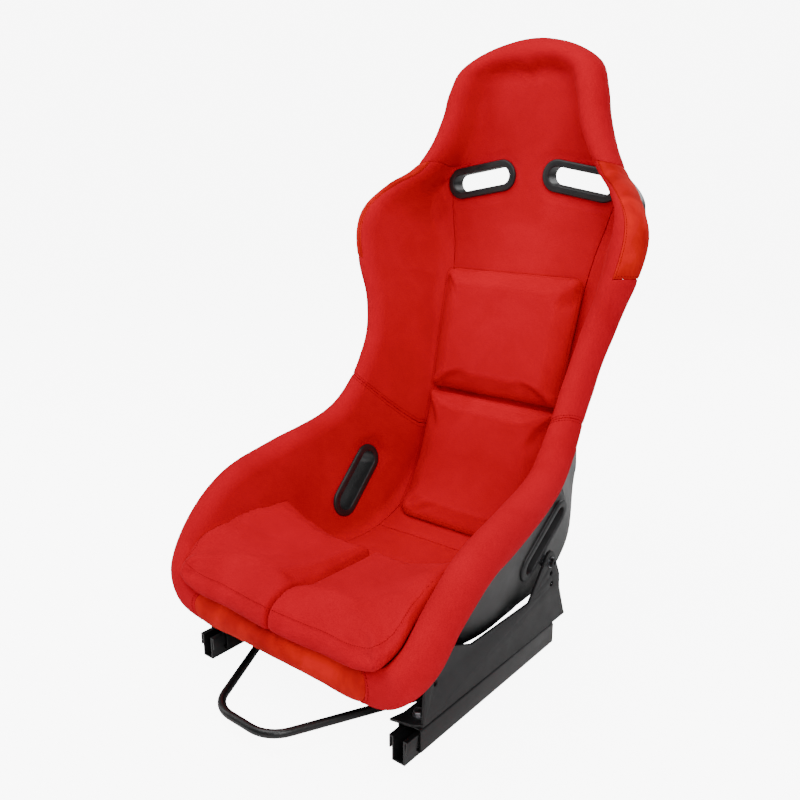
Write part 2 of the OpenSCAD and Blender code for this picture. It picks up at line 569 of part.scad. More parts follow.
rail_x = bracket_x - 18; // centre plane of a rail
flange_in = rail_x - 19; // inner edge of the bracket's flange
flange_bolt_y = [-118, 167];
flange_bolt_d = 8;
module side_bracket(side) {
    f = hole(false, 2);
    r = hole(true, 2);
    low_y = [-131, 239];
    outline = [[low_y[0], rail_h], [low_y[0] + 4, 103], [f[0] - 12.3, f[1] + 4], [f[0] + 10.3, f[1] + 4],
        [f[0] + 73, 113], [r[0] - 60, 110], [r[0] - 14, r[1] + 11], [r[0] + 10, r[1] + 11],
        [r[0] + 30, 124], [r[0] + 32, 100], [low_y[1], rail_h]];
    flange = [[bracket_x, low_y[0]], [flange_in + 24, low_y[0] - 9], [flange_in - 6, low_y[0] - 16],
        [flange_in, low_y[0] + 6], [flange_in, low_y[1] - 14], [flange_in + 10, low_y[1]],
        [bracket_x, low_y[1]]];
    color(BLACK) scale(mirror_x(side)) difference() {
        union() {
            translate([bracket_x - bracket_t, 0, 0]) rotate([90, 0, 90]) linear_extrude(bracket_t) {
                polygon(outline);
                translate([f[0] - 1, f[1]]) circle(r = 12);
                translate([r[0] - 2, r[1] + 6]) circle(r = 13);
            }
            translate([0, 0, rail_h]) linear_extrude(bracket_t) polygon(flange);
        }
        for (rear = [false, true]) for (i = [0:2])
            translate([bracket_x - 10, hole(rear, i)[0], hole(rear, i)[1]])
            rotate([0, 90, 0]) cylinder(d = seat_bolt_d + 2 * bolt_gap, h = 20);
        for (y = flange_bolt_y) translate([rail_x, y, rail_h - 1])
            cylinder(d = flange_bolt_d + 2 * bolt_gap, h = bracket_t + 2);
    }
}
module each_flange_bolt(z) {
    for (m = [1, -1]) for (y = flange_bolt_y) translate([m * rail_x, y, z]) children();
}
nut_h = 6.5;
module bracket_bolts() {
    top = rail_h + bracket_t + washer_t;
    color(STEEL) each_flange_bolt(top) {
        rotate([0, 0, 30]) cylinder(r = 7.5, h = 5.5, $fn = 6);
        translate([0, 0, 28 - top]) cylinder(d = flange_bolt_d, h = top - 28);
    }
}
module bracket_bolt_washers() {
    color(STEEL) each_flange_bolt(rail_h + bracket_t) ring(9, flange_bolt_d / 2 + bolt_gap, washer_t);
}
module bracket_nuts() {
    color(STEEL) each_flange_bolt(rail_h - rail_t - nut_h) difference() {
        rotate([0, 0, 30]) cylinder(r = 7.5, h = nut_h, $fn = 6);
        translate([0, 0, -1]) cylinder(d = flange_bolt_d, h = nut_h + 2);
    }
}

// ---- Rails ----
// Sections are drawn in [across, up], with 0 at the rail's centre plane, and run along Y.
rail_half = upper_rail_w / 2;
hook_z = 10;                             // underside of the upper rail's hooks
ball_r = ball_d / 2;
ball_u = rail_half - rail_t - ball_r - fit;
lip_top = rail_h - rail_t - ball_d - 2 * fit;
curl_z = hook_z + rail_t + ball_d + 2 * fit;  // lower edge of the lower rail's curled lips
curl_out = rail_half - rail_t - 1.3;
wall_out = ball_u - ball_r - 0.95;       // outer face of the lower rail's upright walls
upper_mid_y = seat_setback;
tooth_pitch = 10;
tooth_y = [28, 38, 48];                  // latch teeth
module along_y(y0, y1) { translate([0, y1, 0]) rotate([90, 0, 0]) linear_extrude(y1 - y0) children(); }
module at_rail(side) { scale(mirror_x(side)) translate([rail_x, 0, 0]) children(); }

module upper_rail(side) {
    y0 = upper_mid_y - upper_rail_l / 2;
    color(BLACK) at_rail(side) difference() {
        along_y(y0, y0 + upper_rail_l) difference() {
            union() {
                translate([-rail_half, hook_z]) square([upper_rail_w, rail_h - hook_z - 4]);
                translate([-rail_half + 4, hook_z]) square([upper_rail_w - 8, rail_h - hook_z]);
                for (m = [-1, 1]) translate([m * (rail_half - 4), rail_h - 4]) circle(r = 4);
            }
            translate([-rail_half + rail_t, hook_z + rail_t])
                square([upper_rail_w - 2 * rail_t, rail_h - hook_z - 2 * rail_t]);
            translate([-wall_out - 0.7, hook_z - 1]) square([2 * wall_out + 1.4, rail_t + 2]);
        }
        for (y = flange_bolt_y)
            translate([0, y, rail_h - 10]) cylinder(d = flange_bolt_d + 2 * bolt_gap, h = 20);
        // window for the latch teeth
        translate([-rail_half - 1, tooth_y[0] - 8, hook_z - 1])
            cube([rail_half - wall_out + 0.5, tooth_y[2] - tooth_y[0] + 16, 18]);
    }
}
notch_w = 6;
module lower_rail(side) {
    color(BLACK) at_rail(side) difference() {
        along_y(-lower_rail_l / 2, lower_rail_l / 2) {
            translate([-wall_out, 0]) square([2 * wall_out, rail_t]);
            for (m = [0, 1]) mirror([m, 0]) {
                translate([wall_out - rail_t, 0]) square([rail_t, lip_top]);
                translate([wall_out - rail_t, lip_top - rail_t])
                    square([curl_out - wall_out + rail_t, rail_t]);
                translate([curl_out - rail_t, curl_z]) square([rail_t, lip_top - curl_z]);
            }
        }
        for (y = [-1, 1] * floor_bolt_gap / 2)
            translate([0, y, -1]) cylinder(d = floor_hole_d, h = rail_t + 2);
        // rack notches in the curled lip on the inner side
        for (y = [tooth_y[0] - 10 * tooth_pitch:tooth_pitch:tooth_y[0] + 8 * tooth_pitch])
            translate([-curl_out - 1, y - notch_w / 2, curl_z - 1]) cube([rail_t + 1.5, notch_w, 7]);
        each_stop() cylinder(r = stop_r, h = 60, center = true);
    }
}
stop_r = 2.5;
// cross pins that the flange bolts meet at either end of the travel
stop_y = [flange_bolt_y[0] + flange_bolt_d / 2 + travel_back + stop_r + 0.5,
    flange_bolt_y[1] - flange_bolt_d / 2 - travel_front - stop_r - 0.5];
stop_z = 29.5;
module each_stop() {
    for (y = stop_y) translate([0, y, stop_z]) rotate([0, 90, 0]) children();
}
module rail_stop_rivets() {
    color(STEEL) for (m = [1, -1]) at_rail(m) each_stop() {
        cylinder(r = stop_r, h = 2 * wall_out, center = true);
        for (n = [-1, 1])
            translate([0, 0, n * (wall_out + 0.6)]) cylinder(r = stop_r + 1.5, h = 1.2, center = true);
    }
}

// ---- Balls and their cage ----
cage_y = [-76, 98];
leg_l = 14;
cage_t = 0.65;
cage_out = rail_half - rail_t - 0.32;
cage_z = [hook_z + rail_t + 0.8, lip_top + 4.6];
ball_high = lip_top + fit + ball_r;
ball_low = hook_z + rail_t + fit + ball_r;
ball_hole_r = 2.25;
high_balls = [-40, 10, 60];              // the upper balls, between the legs
low_balls = [cage_y[0] + leg_l / 2, cage_y[1] - leg_l / 2];
module ball_cage(side) {
    color(STEEL) at_rail(side) difference() {
        union() {
            translate([-cage_out, cage_y[0], cage_z[1] - cage_t])
                cube([2 * cage_out, cage_y[1] - cage_y[0], cage_t]);
            for (m = [-1, 1]) for (y = [cage_y[0], cage_y[1] - leg_l])
                translate([m < 0 ? -cage_out : cage_out - cage_t, y, cage_z[0]])
                    cube([cage_t, leg_l, cage_z[1] - cage_z[0]]);
        }
        for (m = [-1, 1]) for (y = high_balls)
            translate([m * ball_u, y, ball_high]) cylinder(r = ball_hole_r, h = 9);
        for (y = low_balls)
            translate([0, y, ball_low]) rotate([0, 90, 0]) cylinder(r = ball_hole_r, h = 60, center = true);
        for (m = [-1, 1]) for (y = low_balls) translate([m * cage_out - 3, y - ball_hole_r, cage_z[0] - 1])
            cube([6, 2 * ball_hole_r, ball_low - cage_z[0] + 1]);
    }
}
module rail_balls(side) {
    color(STEEL) at_rail(side) for (m = [-1, 1]) {
        for (y = high_balls) translate([m * ball_u, y, ball_high]) sphere(d = ball_d);
        for (y = low_balls) translate([m * ball_u, y, ball_low]) sphere(d = ball_d);
    }
}

// ---- Latch and release handle ----
pivot_y = -10;
pivot_z = 26;
rail_in = rail_x - rail_half;            // inner face of the upper rail
ear_t = 2.5;
lever_t = 4;
lever_x = rail_in - 12;                  // inner face of the latch lever
inner_ear_x = lever_x - 1 - ear_t;
clip_t = 0.9;
wire_d = 1.2;
module at_pivot(side, x) {
    scale(mirror_x(side)) translate([x, pivot_y, pivot_z]) rotate([0, 90, 0]) children();
}
module latch_bracket(side) {
    y0 = pivot_y - 12;
    low = pivot_z - 12;
    high = pivot_z + 14;
    color(BLACK) scale(mirror_x(side)) difference() {
        union() {
            for (x = [inner_ear_x, rail_in - ear_t]) translate([x, y0, low]) cube([ear_t, 24, high - low]);
            translate([inner_ear_x, y0, high - ear_t]) cube([rail_in - inner_ear_x, 24, ear_t]);
        }
        translate([0, pivot_y, pivot_z]) rotate([0, 90, 0]) cylinder(d = pivot_d, h = rail_in + 1);
    }
}
module latch_pins() {
    head_t = 2.5;
    color(STEEL) for (m = [1, -1]) at_pivot(m, inner_ear_x) {
        translate([0, 0, -head_t]) cylinder(r = pivot_d / 2 + 2.5, h = head_t);
        cylinder(d = pivot_d, h = rail_in - inner_ear_x - 0.1);
    }
}
clip_x = rail_in - ear_t - clip_t - 0.1;
module pin_clips() {
    color(STEEL) for (m = [1, -1]) at_pivot(m, clip_x) ring(pivot_d / 2 + 2.2, pivot_d / 2, clip_t);
}
module return_springs() {
    turns = 3;
    coil_r = pivot_d / 2 + 1.8;
    x0 = lever_x + lever_t + 0.4 + wire_d / 2;
    color(STEEL) for (m = [1, -1]) {
        for (i = [0:turns - 1])
            at_pivot(m, x0 + 0.9 * i * wire_d)
                rotate_extrude() translate([coil_r, 0]) circle(d = wire_d);
        scale(mirror_x(m)) translate([x0 + 0.9 * (turns - 1) * wire_d, pivot_y + coil_r, pivot_z])
            cylinder(d = wire_d, h = 14 - ear_t);
    }
}
bar_z = 27;              // height of the release handle
socket_x = lever_x - 7;
socket_r = handle_d / 2 + 2;
socket_y = [pivot_y - 40, pivot_y - 16];
tooth_z = [18.5, 21];
tooth_tip = rail_x - cage_out - 0.6;     // the teeth stop just short of the cage and the rack
module latch_lever(side) {
    lever = [[pivot_y - 38, bar_z - 7], [pivot_y, pivot_z - 10], [tooth_y[0] - 4, tooth_z[0]],
        [tooth_y[2] + 5, tooth_z[0]], [tooth_y[2] + 5, tooth_z[1] + 3], [tooth_y[0] - 8, tooth_z[1] + 6],
        [pivot_y, pivot_z + 9], [pivot_y - 38, bar_z + 7]];
    color(BLACK) scale(mirror_x(side)) difference() {
        union() {
            translate([lever_x, 0, 0]) rotate([90, 0, 90]) linear_extrude(lever_t) {
                polygon(lever);
                translate([pivot_y, pivot_z]) circle(r = 10);
            }
            translate([socket_x, socket_y[1], bar_z])
                rotate([90, 0, 0]) cylinder(r = socket_r, h = socket_y[1] - socket_y[0]);
            translate([lever_x, tooth_y[0] - 4, tooth_z[0]])
                cube([rail_in - lever_x - 2, tooth_y[2] - tooth_y[0] + 9, tooth_z[1] - tooth_z[0]]);
            for (y = tooth_y) translate([lever_x, y - 2.5, tooth_z[0]])
                cube([tooth_tip - lever_x, 5, tooth_z[1] - tooth_z[0]]);
        }
        translate([0, pivot_y, pivot_z]) rotate([0, 90, 0]) cylinder(r = pivot_d / 2 + fit, h = rail_in);
        translate([socket_x, socket_y[1] + 1, bar_z]) rotate([90, 0, 0])
            cylinder(r = handle_d / 2, h = socket_y[1] - socket_y[0] + 2);
    }
}
// A round bar bent in the XY plane: through the points p, each bend with its own radius.
function turn(a, b, c) = let (u = unit(b - a), v = unit(c - b)) atan2(u[0] * v[1] - u[1] * v[0], u * v);
function heading(a, b) = atan2(b[1] - a[1], b[0] - a[0]);
// [x, y, heading] of every ring of the bar
function bar_rings(p, bends, steps) =
    let (n = len(p) - 1)
    concat([[p[0][0], p[0][1], heading(p[0], p[1])]],
        [for (i = [1:n - 1]) let (s = turn(p[i - 1], p[i], p[i + 1]), k = sign(s), u = unit(p[i] - p[i - 1]))
            let (a = p[i] - bends[i] * tan(abs(s) / 2) * u, c = a + k * bends[i] * [-u[1], u[0]])
            for (j = [0:steps]) let (h = heading(p[i - 1], p[i]) + s * j / steps)
                [c[0] + k * bends[i] * sin(h), c[1] - k * bends[i] * cos(h), h]],
        [[p[n][0], p[n][1], heading(p[n - 1], p[n])]]);
module bent_bar(p, bends, d, steps = 8, sides = 28) {
    rings = bar_rings(p, bends, steps);
    n = len(rings);
    points = [for (r = rings) for (k = [0:sides - 1]) let (q = polar(d / 2, 360 * k / sides))
        [r[0] - q[0] * sin(r[2]), r[1] + q[0] * cos(r[2]), q[1]]];
    walls = [for (i = [0:n - 2]) for (k = [0:sides - 1])
        let (a = i * sides + k, b = i * sides + (k + 1) % sides)
            each [[a, b, b + sides], [a, b + sides, a + sides]]];
    caps = [[for (k = [sides - 1:-1:0]) k], [for (k = [0:sides - 1]) (n - 1) * sides + k]];
    polyhedron(points, concat(walls, caps), convexity = 8);
}
module release_handle() {
    front = pivot_y - handle_reach;
    half = [[socket_x, socket_y[1] - 1], [socket_x, socket_y[0] - 5], [handle_half_w - 16, front]];
    path = concat(half, [for (i = [2:-1:0]) [-half[i][0], half[i][1]]]);
    color(BLACK) translate([0, 0, bar_z]) bent_bar(path, [0, 30, 50, 50, 30, 0], handle_d);
}

seat_shell();
head_cover();
back_panel_cover();
back_bolster(1);  // back_bolster_left
back_bolster(-1);  // back_bolster_right
shoulder_patch(1);  // shoulder_patch_left
shoulder_patch(-1);  // shoulder_patch_right
thigh_bolster(1);  // thigh_bolster_left
thigh_bolster(-1);  // thigh_bolster_right
seat_base_cover();
front_lip_cover();
back_pad_upper();
back_pad_lower();
thigh_pad(1);  // thigh_pad_left
thigh_pad(-1);  // thigh_pad_right
shoulder_bezels_front();
shoulder_bezels_rear();
lap_bezels_inner();
lap_bezels_outer();
side_bracket(1);  // side_bracket_left
side_bracket(-1);  // side_bracket_right
upper_rail(1);  // upper_rail_left
upper_rail(-1);  // upper_rail_right
lower_rail(1);  // lower_rail_left
lower_rail(-1);  // lower_rail_right
ball_cage(1);  // ball_cage_left
ball_cage(-1);  // ball_cage_right
rail_balls(1);  // rail_balls_left
rail_balls(-1);  // rail_balls_right
shell_inserts();
seat_bolts();
seat_bolt_washers();
bracket_spacers();
bracket_bolts();
bracket_bolt_washers();
bracket_nuts();
rail_stop_rivets();
latch_bracket(1);  // latch_bracket_left
latch_bracket(-1);  // latch_bracket_right
latch_pins();
pin_clips();
return_springs();
latch_lever(1);  // latch_lever_left
latch_lever(-1);  // latch_lever_right
release_handle();
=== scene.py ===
"""Racing seat: stitched covers, pads, shell, harness bezels and rails, built round the CAD frame."""

import math

import bmesh
import bpy
import numpy as np
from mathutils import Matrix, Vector, noise
from mathutils.kdtree import KDTree


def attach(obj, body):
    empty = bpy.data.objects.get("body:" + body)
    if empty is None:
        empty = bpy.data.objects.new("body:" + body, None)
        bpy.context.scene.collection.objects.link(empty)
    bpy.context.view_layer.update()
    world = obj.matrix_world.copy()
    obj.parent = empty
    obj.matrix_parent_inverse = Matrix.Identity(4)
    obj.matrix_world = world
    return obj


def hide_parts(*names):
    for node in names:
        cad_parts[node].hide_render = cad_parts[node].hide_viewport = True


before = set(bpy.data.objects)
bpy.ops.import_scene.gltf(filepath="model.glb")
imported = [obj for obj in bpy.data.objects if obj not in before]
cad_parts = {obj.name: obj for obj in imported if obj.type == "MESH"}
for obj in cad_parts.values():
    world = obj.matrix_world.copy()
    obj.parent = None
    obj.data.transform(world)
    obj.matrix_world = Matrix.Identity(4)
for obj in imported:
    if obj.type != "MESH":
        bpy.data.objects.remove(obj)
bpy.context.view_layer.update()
MM = 0.001

# ---------------------------------------------------------------- camera, floor and light
CAMERA_AZIMUTH = math.radians(39.2)
CAMERA_DROP = math.radians(15.6)
CAMERA_PLACE = (0.7672, -0.8628, 0.7365)


def make_camera():
    data = bpy.data.cameras.new("studio_camera")
    data.lens = 37.71
    data.sensor_width = 36.0
    data.clip_end = 50.0
    camera = bpy.data.objects.new("studio_camera", data)
    bpy.context.scene.collection.objects.link(camera)
    back = Vector((
        math.sin(CAMERA_AZIMUTH) * math.cos(CAMERA_DROP),
        -math.cos(CAMERA_AZIMUTH) * math.cos(CAMERA_DROP),
        math.sin(CAMERA_DROP),
    ))
    camera.location = CAMERA_PLACE
    camera.rotation_mode = "QUATERNION"
    camera.rotation_quaternion = (-back).to_track_quat("-Z", "Y")
    bpy.context.scene.camera = camera


def soft_box(name, place, aim, size, watts):
    data = bpy.data.lights.new(name, "AREA")
    data.shape = "RECTANGLE"
    data.size, data.size_y = size
    data.energy = watts
    lamp = bpy.data.objects.new(name, data)
    bpy.context.scene.collection.objects.link(lamp)
    lamp.location = place
    lamp.rotation_mode = "QUATERNION"
    lamp.rotation_quaternion = (Vector(aim) - Vector(place)).to_track_quat("-Z", "Y")


# Name, place, what it is aimed at, its width and height, and its watts.
LAMPS = [
    ("key_light", (2.1, -1.7, 2.4), (0, 0.1, 0.4), (1.6, 1.6), 62),
    ("top_light", (-0.6, -0.7, 2.9), (0, 0.2, 0.4), (2.2, 1.6), 46),
    ("left_light", (-2.3, -1.3, 1.3), (0, 0.1, 0.4), (1.0, 1.8), 16),
    ("back_light", (0.5, 2.6, 1.7), (0, 0.2, 0.5), (1.6, 1.4), 24),
]
AIR_LIGHT = 2.6
WALL_AWAY, WALL_HALF, WALL_TOP = 25.0, 60.0, 40.0
BACKDROP_GLOW = 8.0


def bright_to_camera(tree, strength, otherwise):
    """A strength that is the backdrop's glow where the camera looks at it, and otherwise the one given."""
    seen = tree.nodes.new("ShaderNodeLightPath").outputs["Is Camera Ray"]
    choice = tree.nodes.new("ShaderNodeMapRange")
    choice.inputs["To Min"].default_value = otherwise
    choice.inputs["To Max"].default_value = BACKDROP_GLOW
    tree.links.new(seen, choice.inputs["Value"])
    tree.links.new(choice.outputs["Result"], strength)


def make_studio():
    world = bpy.data.worlds.new("studio_air")
    world.use_nodes = True
    bright_to_camera(world.node_tree, world.node_tree.nodes["Background"].inputs["Strength"], AIR_LIGHT)
    bpy.context.scene.world = world
    bm = bmesh.new()
    bmesh.ops.create_grid(bm, x_segments=2, y_segments=2, size=WALL_HALF)
    away = WALL_AWAY * Vector((-math.sin(CAMERA_AZIMUTH), math.cos(CAMERA_AZIMUTH), 0.0))
    across = WALL_HALF * Vector((math.cos(CAMERA_AZIMUTH), math.sin(CAMERA_AZIMUTH), 0.0))
    top = Vector((0.0, 0.0, WALL_TOP))
    wall = (away - across, away + across, away + across + top, away - across + top)
    bm.faces.new([bm.verts.new(p) for p in wall])
    floor = mesh_object("studio_floor", bm)
    floor.data.materials.append(floor_paint())
    for lamp in LAMPS:
        soft_box(*lamp)


# ---------------------------------------------------------------- materials
def linear(r, g, b):
    """Linear colour of a paint chip given in 0-255 steps."""
    def channel(c):
        return c / 255 / 12.92 if c <= 10 else ((c / 255 + 0.055) / 1.055) ** 2.4
    return channel(r), channel(g), channel(b), 1.0


class Finish:
    """A node material that starts with its main shader and grows from there."""

    def __init__(self, name, colour, roughness, **sockets):
        self.material = bpy.data.materials.new(name)
        self.material.use_nodes = True
        self.tree = self.material.node_tree
        self.shader = self.tree.nodes["Principled BSDF"]
        self.shader.inputs["Base Color"].default_value = colour
        self.shader.inputs["Roughness"].default_value = roughness
        for socket, value in sockets.items():
            self.shader.inputs[socket.replace("_", " ")].default_value = value
        self.place = self.node("ShaderNodeTexCoord").outputs["Object"]
        self.bump = None

    def node(self, kind, **values):
        made = self.tree.nodes.new(kind)
        for key, value in values.items():
            setattr(made, key, value)
        return made

    def wire(self, source, target):
        self.tree.links.new(source, target)

    def noise(self, scale, detail=2.0, distortion=0.0, stretch=None):
        made = self.node("ShaderNodeTexNoise")
        made.inputs["Scale"].default_value = scale
        made.inputs["Detail"].default_value = detail
        made.inputs["Distortion"].default_value = distortion
        self.wire(self.stretched(stretch), made.inputs["Vector"])
        return made.outputs["Fac"]

    def cells(self, scale, feature="F1", output="Distance", stretch=None):
        made = self.node("ShaderNodeTexVoronoi", feature=feature)
        made.inputs["Scale"].default_value = scale
        self.wire(self.stretched(stretch), made.inputs["Vector"])
        return made.outputs[output]

    def stretched(self, stretch):
        if stretch is None:
            return self.place
        mapping = self.node("ShaderNodeMapping")
        mapping.inputs["Scale"].default_value = stretch
        self.wire(self.place, mapping.inputs["Vector"])
        return mapping.outputs["Vector"]

    def ramp(self, source, *stops):
        made = self.node("ShaderNodeValToRGB")
        ramp = made.color_ramp
        while len(ramp.elements) < len(stops):
            ramp.elements.new(0.5)
        for element, (at, colour) in zip(ramp.elements, stops):
            element.position = at
            element.color = colour if isinstance(colour, tuple) else (colour, colour, colour, 1.0)
        self.wire(source, made.inputs["Fac"])
        return made.outputs["Color"]

    def shade(self, source):
        self.wire(source, self.shader.inputs["Base Color"])

    def polish(self, source, low, high):
        """Roughness that moves between low and high."""
        made = self.node("ShaderNodeMapRange")
        made.inputs["To Min"].default_value = low
        made.inputs["To Max"].default_value = high
        self.wire(source, made.inputs["Value"])
        self.wire(made.outputs["Result"], self.shader.inputs["Roughness"])

    def raise_by(self, source, height, strength=1.0):
        """Adds a relief of that height in metres on top of the ones before."""
        made = self.node("ShaderNodeBump")
        made.inputs["Distance"].default_value = height
        made.inputs["Strength"].default_value = strength
        self.wire(source, made.inputs["Height"])
        if self.bump is not None:
            self.wire(self.bump, made.inputs["Normal"])
        self.bump = made.outputs["Normal"]
        self.wire(self.bump, self.shader.inputs["Normal"])


def floor_paint():
    finish = Finish("studio_floor_paint", (0.98, 0.98, 0.98, 1.0), 0.9)
    finish.shade(finish.ramp(finish.noise(3.0), (0.3, 0.97), (0.7, 0.99)))
    finish.shader.inputs["Emission Color"].default_value = (1.0, 1.0, 1.0, 1.0)
    bright_to_camera(finish.tree, finish.shader.inputs["Emission Strength"], 0.0)
    return finish.material


def cloth(name, dark, light, sheen_tint):
    """Fine stretch knit: pebbled loops and a soft mottling of the dye."""
    finish = Finish(name, light, 0.9, Sheen_Weight=0.04, Sheen_Roughness=0.4, Specular_IOR_Level=0.12)
    finish.shader.inputs["Sheen Tint"].default_value = sheen_tint
    tone = finish.ramp(finish.noise(14.0, 4.0, 0.4), (0.28, dark), (0.72, light))
    loops = finish.ramp(finish.cells(950.0, "SMOOTH_F1"), (0.1, 1.0), (0.62, 0.72))
    mixed = finish.node("ShaderNodeMix", data_type="RGBA", blend_type="MULTIPLY")
    mixed.inputs["Factor"].default_value = 0.55
    finish.wire(tone, mixed.inputs["A"])
    finish.wire(loops, mixed.inputs["B"])
    finish.shade(mixed.outputs["Result"])
    finish.polish(finish.noise(60.0, 3.0), 0.84, 0.96)
    finish.raise_by(finish.noise(42.0, 3.0), 0.0006, 0.35)
    finish.raise_by(finish.cells(950.0, "SMOOTH_F1"), 0.00035, 0.5)
    return finish.material


def suede(name, dark, light):
    """Brushed suede: nap that lies in patches and catches the light unevenly."""
    finish = Finish(name, light, 0.9, Sheen_Weight=0.16, Sheen_Roughness=0.35, Specular_IOR_Level=0.12)
    finish.shader.inputs["Sheen Tint"].default_value = (1.0, 0.18, 0.10, 1.0)
    brushed = finish.noise(19.0, 6.0, 0.5, (1.0, 1.4, 0.8))
    finish.shade(finish.ramp(brushed, (0.34, dark), (0.62, light)))
    finish.polish(brushed, 0.8, 0.96)
    finish.raise_by(brushed, 0.0008, 0.3)
    finish.raise_by(finish.noise(1500.0, 2.0), 0.0003, 0.6)
    return finish.material


def painted(name, dark, light, roughness, grain, depth, coat=0.0):
    """Sprayed or powder-coated metal with orange peel and a little handling wear."""
    finish = Finish(name, light, roughness, Coat_Weight=coat, Coat_Roughness=0.25)
    finish.shade(finish.ramp(finish.noise(9.0, 5.0, 0.6), (0.3, dark), (0.7, light)))
    finish.polish(finish.noise(35.0, 6.0, 0.3), roughness - 0.07, roughness + 0.1)
    finish.raise_by(finish.noise(grain, 2.0), depth, 0.6)
    return finish.material


def gelcoat():
    """Satin gelcoat on glass fibre: soft ripple from the mould and fine specks."""
    finish = Finish("shell_gelcoat_black", linear(22, 22, 23), 0.42, Coat_Weight=0.25, Coat_Roughness=0.3)
    tone = finish.ramp(finish.noise(7.0, 5.0, 0.5), (0.3, linear(18, 18, 19)), (0.7, linear(28, 28, 30)))
    specks = finish.ramp(finish.cells(420.0, "F1"), (0.04, 1.35), (0.12, 1.0))
    mixed = finish.node("ShaderNodeMix", data_type="RGBA", blend_type="MULTIPLY")
    mixed.inputs["Factor"].default_value = 1.0
    finish.wire(tone, mixed.inputs["A"])
    finish.wire(specks, mixed.inputs["B"])
    finish.shade(mixed.outputs["Result"])
    finish.polish(finish.noise(22.0, 6.0, 0.8), 0.34, 0.52)
    finish.raise_by(finish.noise(30.0, 2.0), 0.0009, 0.25)
    finish.raise_by(finish.noise(260.0, 2.0), 0.00012, 0.5)
    return finish.material


def plastic(name, dark, light, roughness):
    """Injection-moulded plastic with a fine leather-like grain."""
    finish = Finish(name, light, roughness, Specular_IOR_Level=0.45)
    finish.shade(finish.ramp(finish.noise(40.0, 4.0), (0.3, dark), (0.7, light)))
    finish.polish(finish.noise(120.0, 3.0), roughness - 0.06, roughness + 0.08)
    finish.raise_by(finish.cells(900.0, "F1"), 0.00012, 0.5)
    return finish.material


def plated(name, dark, light, roughness):
    """Bare or plated steel, brushed one way with tiny pits."""
    finish = Finish(name, light, roughness, Metallic=1.0)
    finish.shade(finish.ramp(finish.noise(90.0, 5.0, 0.4), (0.3, dark), (0.7, light)))
    finish.polish(finish.noise(300.0, 4.0, 0.0, (1.0, 6.0, 1.0)), roughness - 0.08, roughness + 0.12)
    finish.raise_by(finish.noise(700.0, 3.0), 0.00005, 0.5)
    return finish.material


RED_CLOTH = cloth("red_stretch_cloth", linear(212, 1, 30), linear(226, 3, 36), (1.0, 0.10, 0.10, 1.0))
PAD_CLOTH = cloth("red_pad_cloth", linear(212, 1, 30), linear(226, 3, 36), (1.0, 0.10, 0.10, 1.0))
SUEDE = suede("red_suede", linear(192, 5, 12), linear(236, 24, 22))
GELCOAT = gelcoat()
BEZEL = plastic("bezel_grey_plastic", linear(30, 31, 32), linear(42, 43, 44), 0.42)
BRACKET = painted("bracket_powder_coat", linear(20, 20, 21), linear(31, 31, 33), 0.44, 520.0, 0.00012)
RAIL = painted("rail_black_paint", linear(11, 11, 12), linear(19, 19, 20), 0.34, 380.0, 0.00010, 0.2)
HANDLE = painted("handle_black_coat", linear(11, 11, 12), linear(18, 18, 19), 0.36, 600.0, 0.00012, 0.15)
BOLT = plated("black_oxide_bolt", linear(48, 48, 50), linear(70, 70, 72), 0.38)
ZINC = plated("zinc_plate", linear(150, 152, 156), linear(190, 192, 196), 0.32)
BALL = plated("ball_bearing_steel", linear(176, 178, 182), linear(210, 212, 215), 0.14)
SPRING = plated("spring_steel_wire", linear(110, 112, 116), linear(150, 152, 156), 0.3)
CAGE = plastic("cage_natural_plastic", linear(150, 146, 132), linear(176, 172, 158), 0.5)
THREAD = cloth("red_sewing_thread", linear(150, 2, 5), linear(180, 4, 8), (1.0, 0.12, 0.12, 1.0))


# ---------------------------------------------------------------- mesh helpers
def mesh_object(name, bm):
    data = bpy.data.meshes.new(name)
    bm.to_mesh(data)
    bm.free()
    made = bpy.data.objects.new(name, data)
    bpy.context.scene.collection.objects.link(made)
    return made


def object_from(name, points, faces, material, smooth=True, weld=1e-5):
    """A mesh piece from points in millimetres, its doubles welded and its faces turned outwards."""
    data = bpy.data.meshes.new(name)
    data.from_pydata((np.asarray(points) * MM).tolist(), [], faces)
    bm = bmesh.new()
    bm.from_mesh(data)
    bmesh.ops.remove_doubles(bm, verts=bm.verts, dist=weld)
    bmesh.ops.dissolve_degenerate(bm, dist=1e-7, edges=bm.edges)
    bmesh.ops.recalc_face_normals(bm, faces=bm.faces)
    bm.to_mesh(data)
    bm.free()
    made = bpy.data.objects.new(name, data)
    bpy.context.scene.collection.objects.link(made)
    data.materials.append(material)
    if smooth:
        data.shade_smooth()
    return made


def settle_modifiers(piece):
    """Turns a piece with live modifiers into a plain mesh."""
    graph = bpy.context.evaluated_depsgraph_get()
    data = bpy.data.meshes.new_from_object(piece.evaluated_get(graph))
    piece.modifiers.clear()
    old = piece.data
    piece.data = data
    bpy.data.meshes.remove(old)
    return piece


def smooth_by_angle(piece, degrees=35.0):
    piece.data.shade_smooth()
    piece.data.set_sharp_from_angle(angle=math.radians(degrees))
    return piece


def cut_away(piece, cutter):
    tool = piece.modifiers.new("cut", "BOOLEAN")
    tool.operation = "DIFFERENCE"
    tool.solver = "EXACT"
    tool.object = cutter
    settle_modifiers(piece)
    bpy.data.objects.remove(cutter)
    return piece


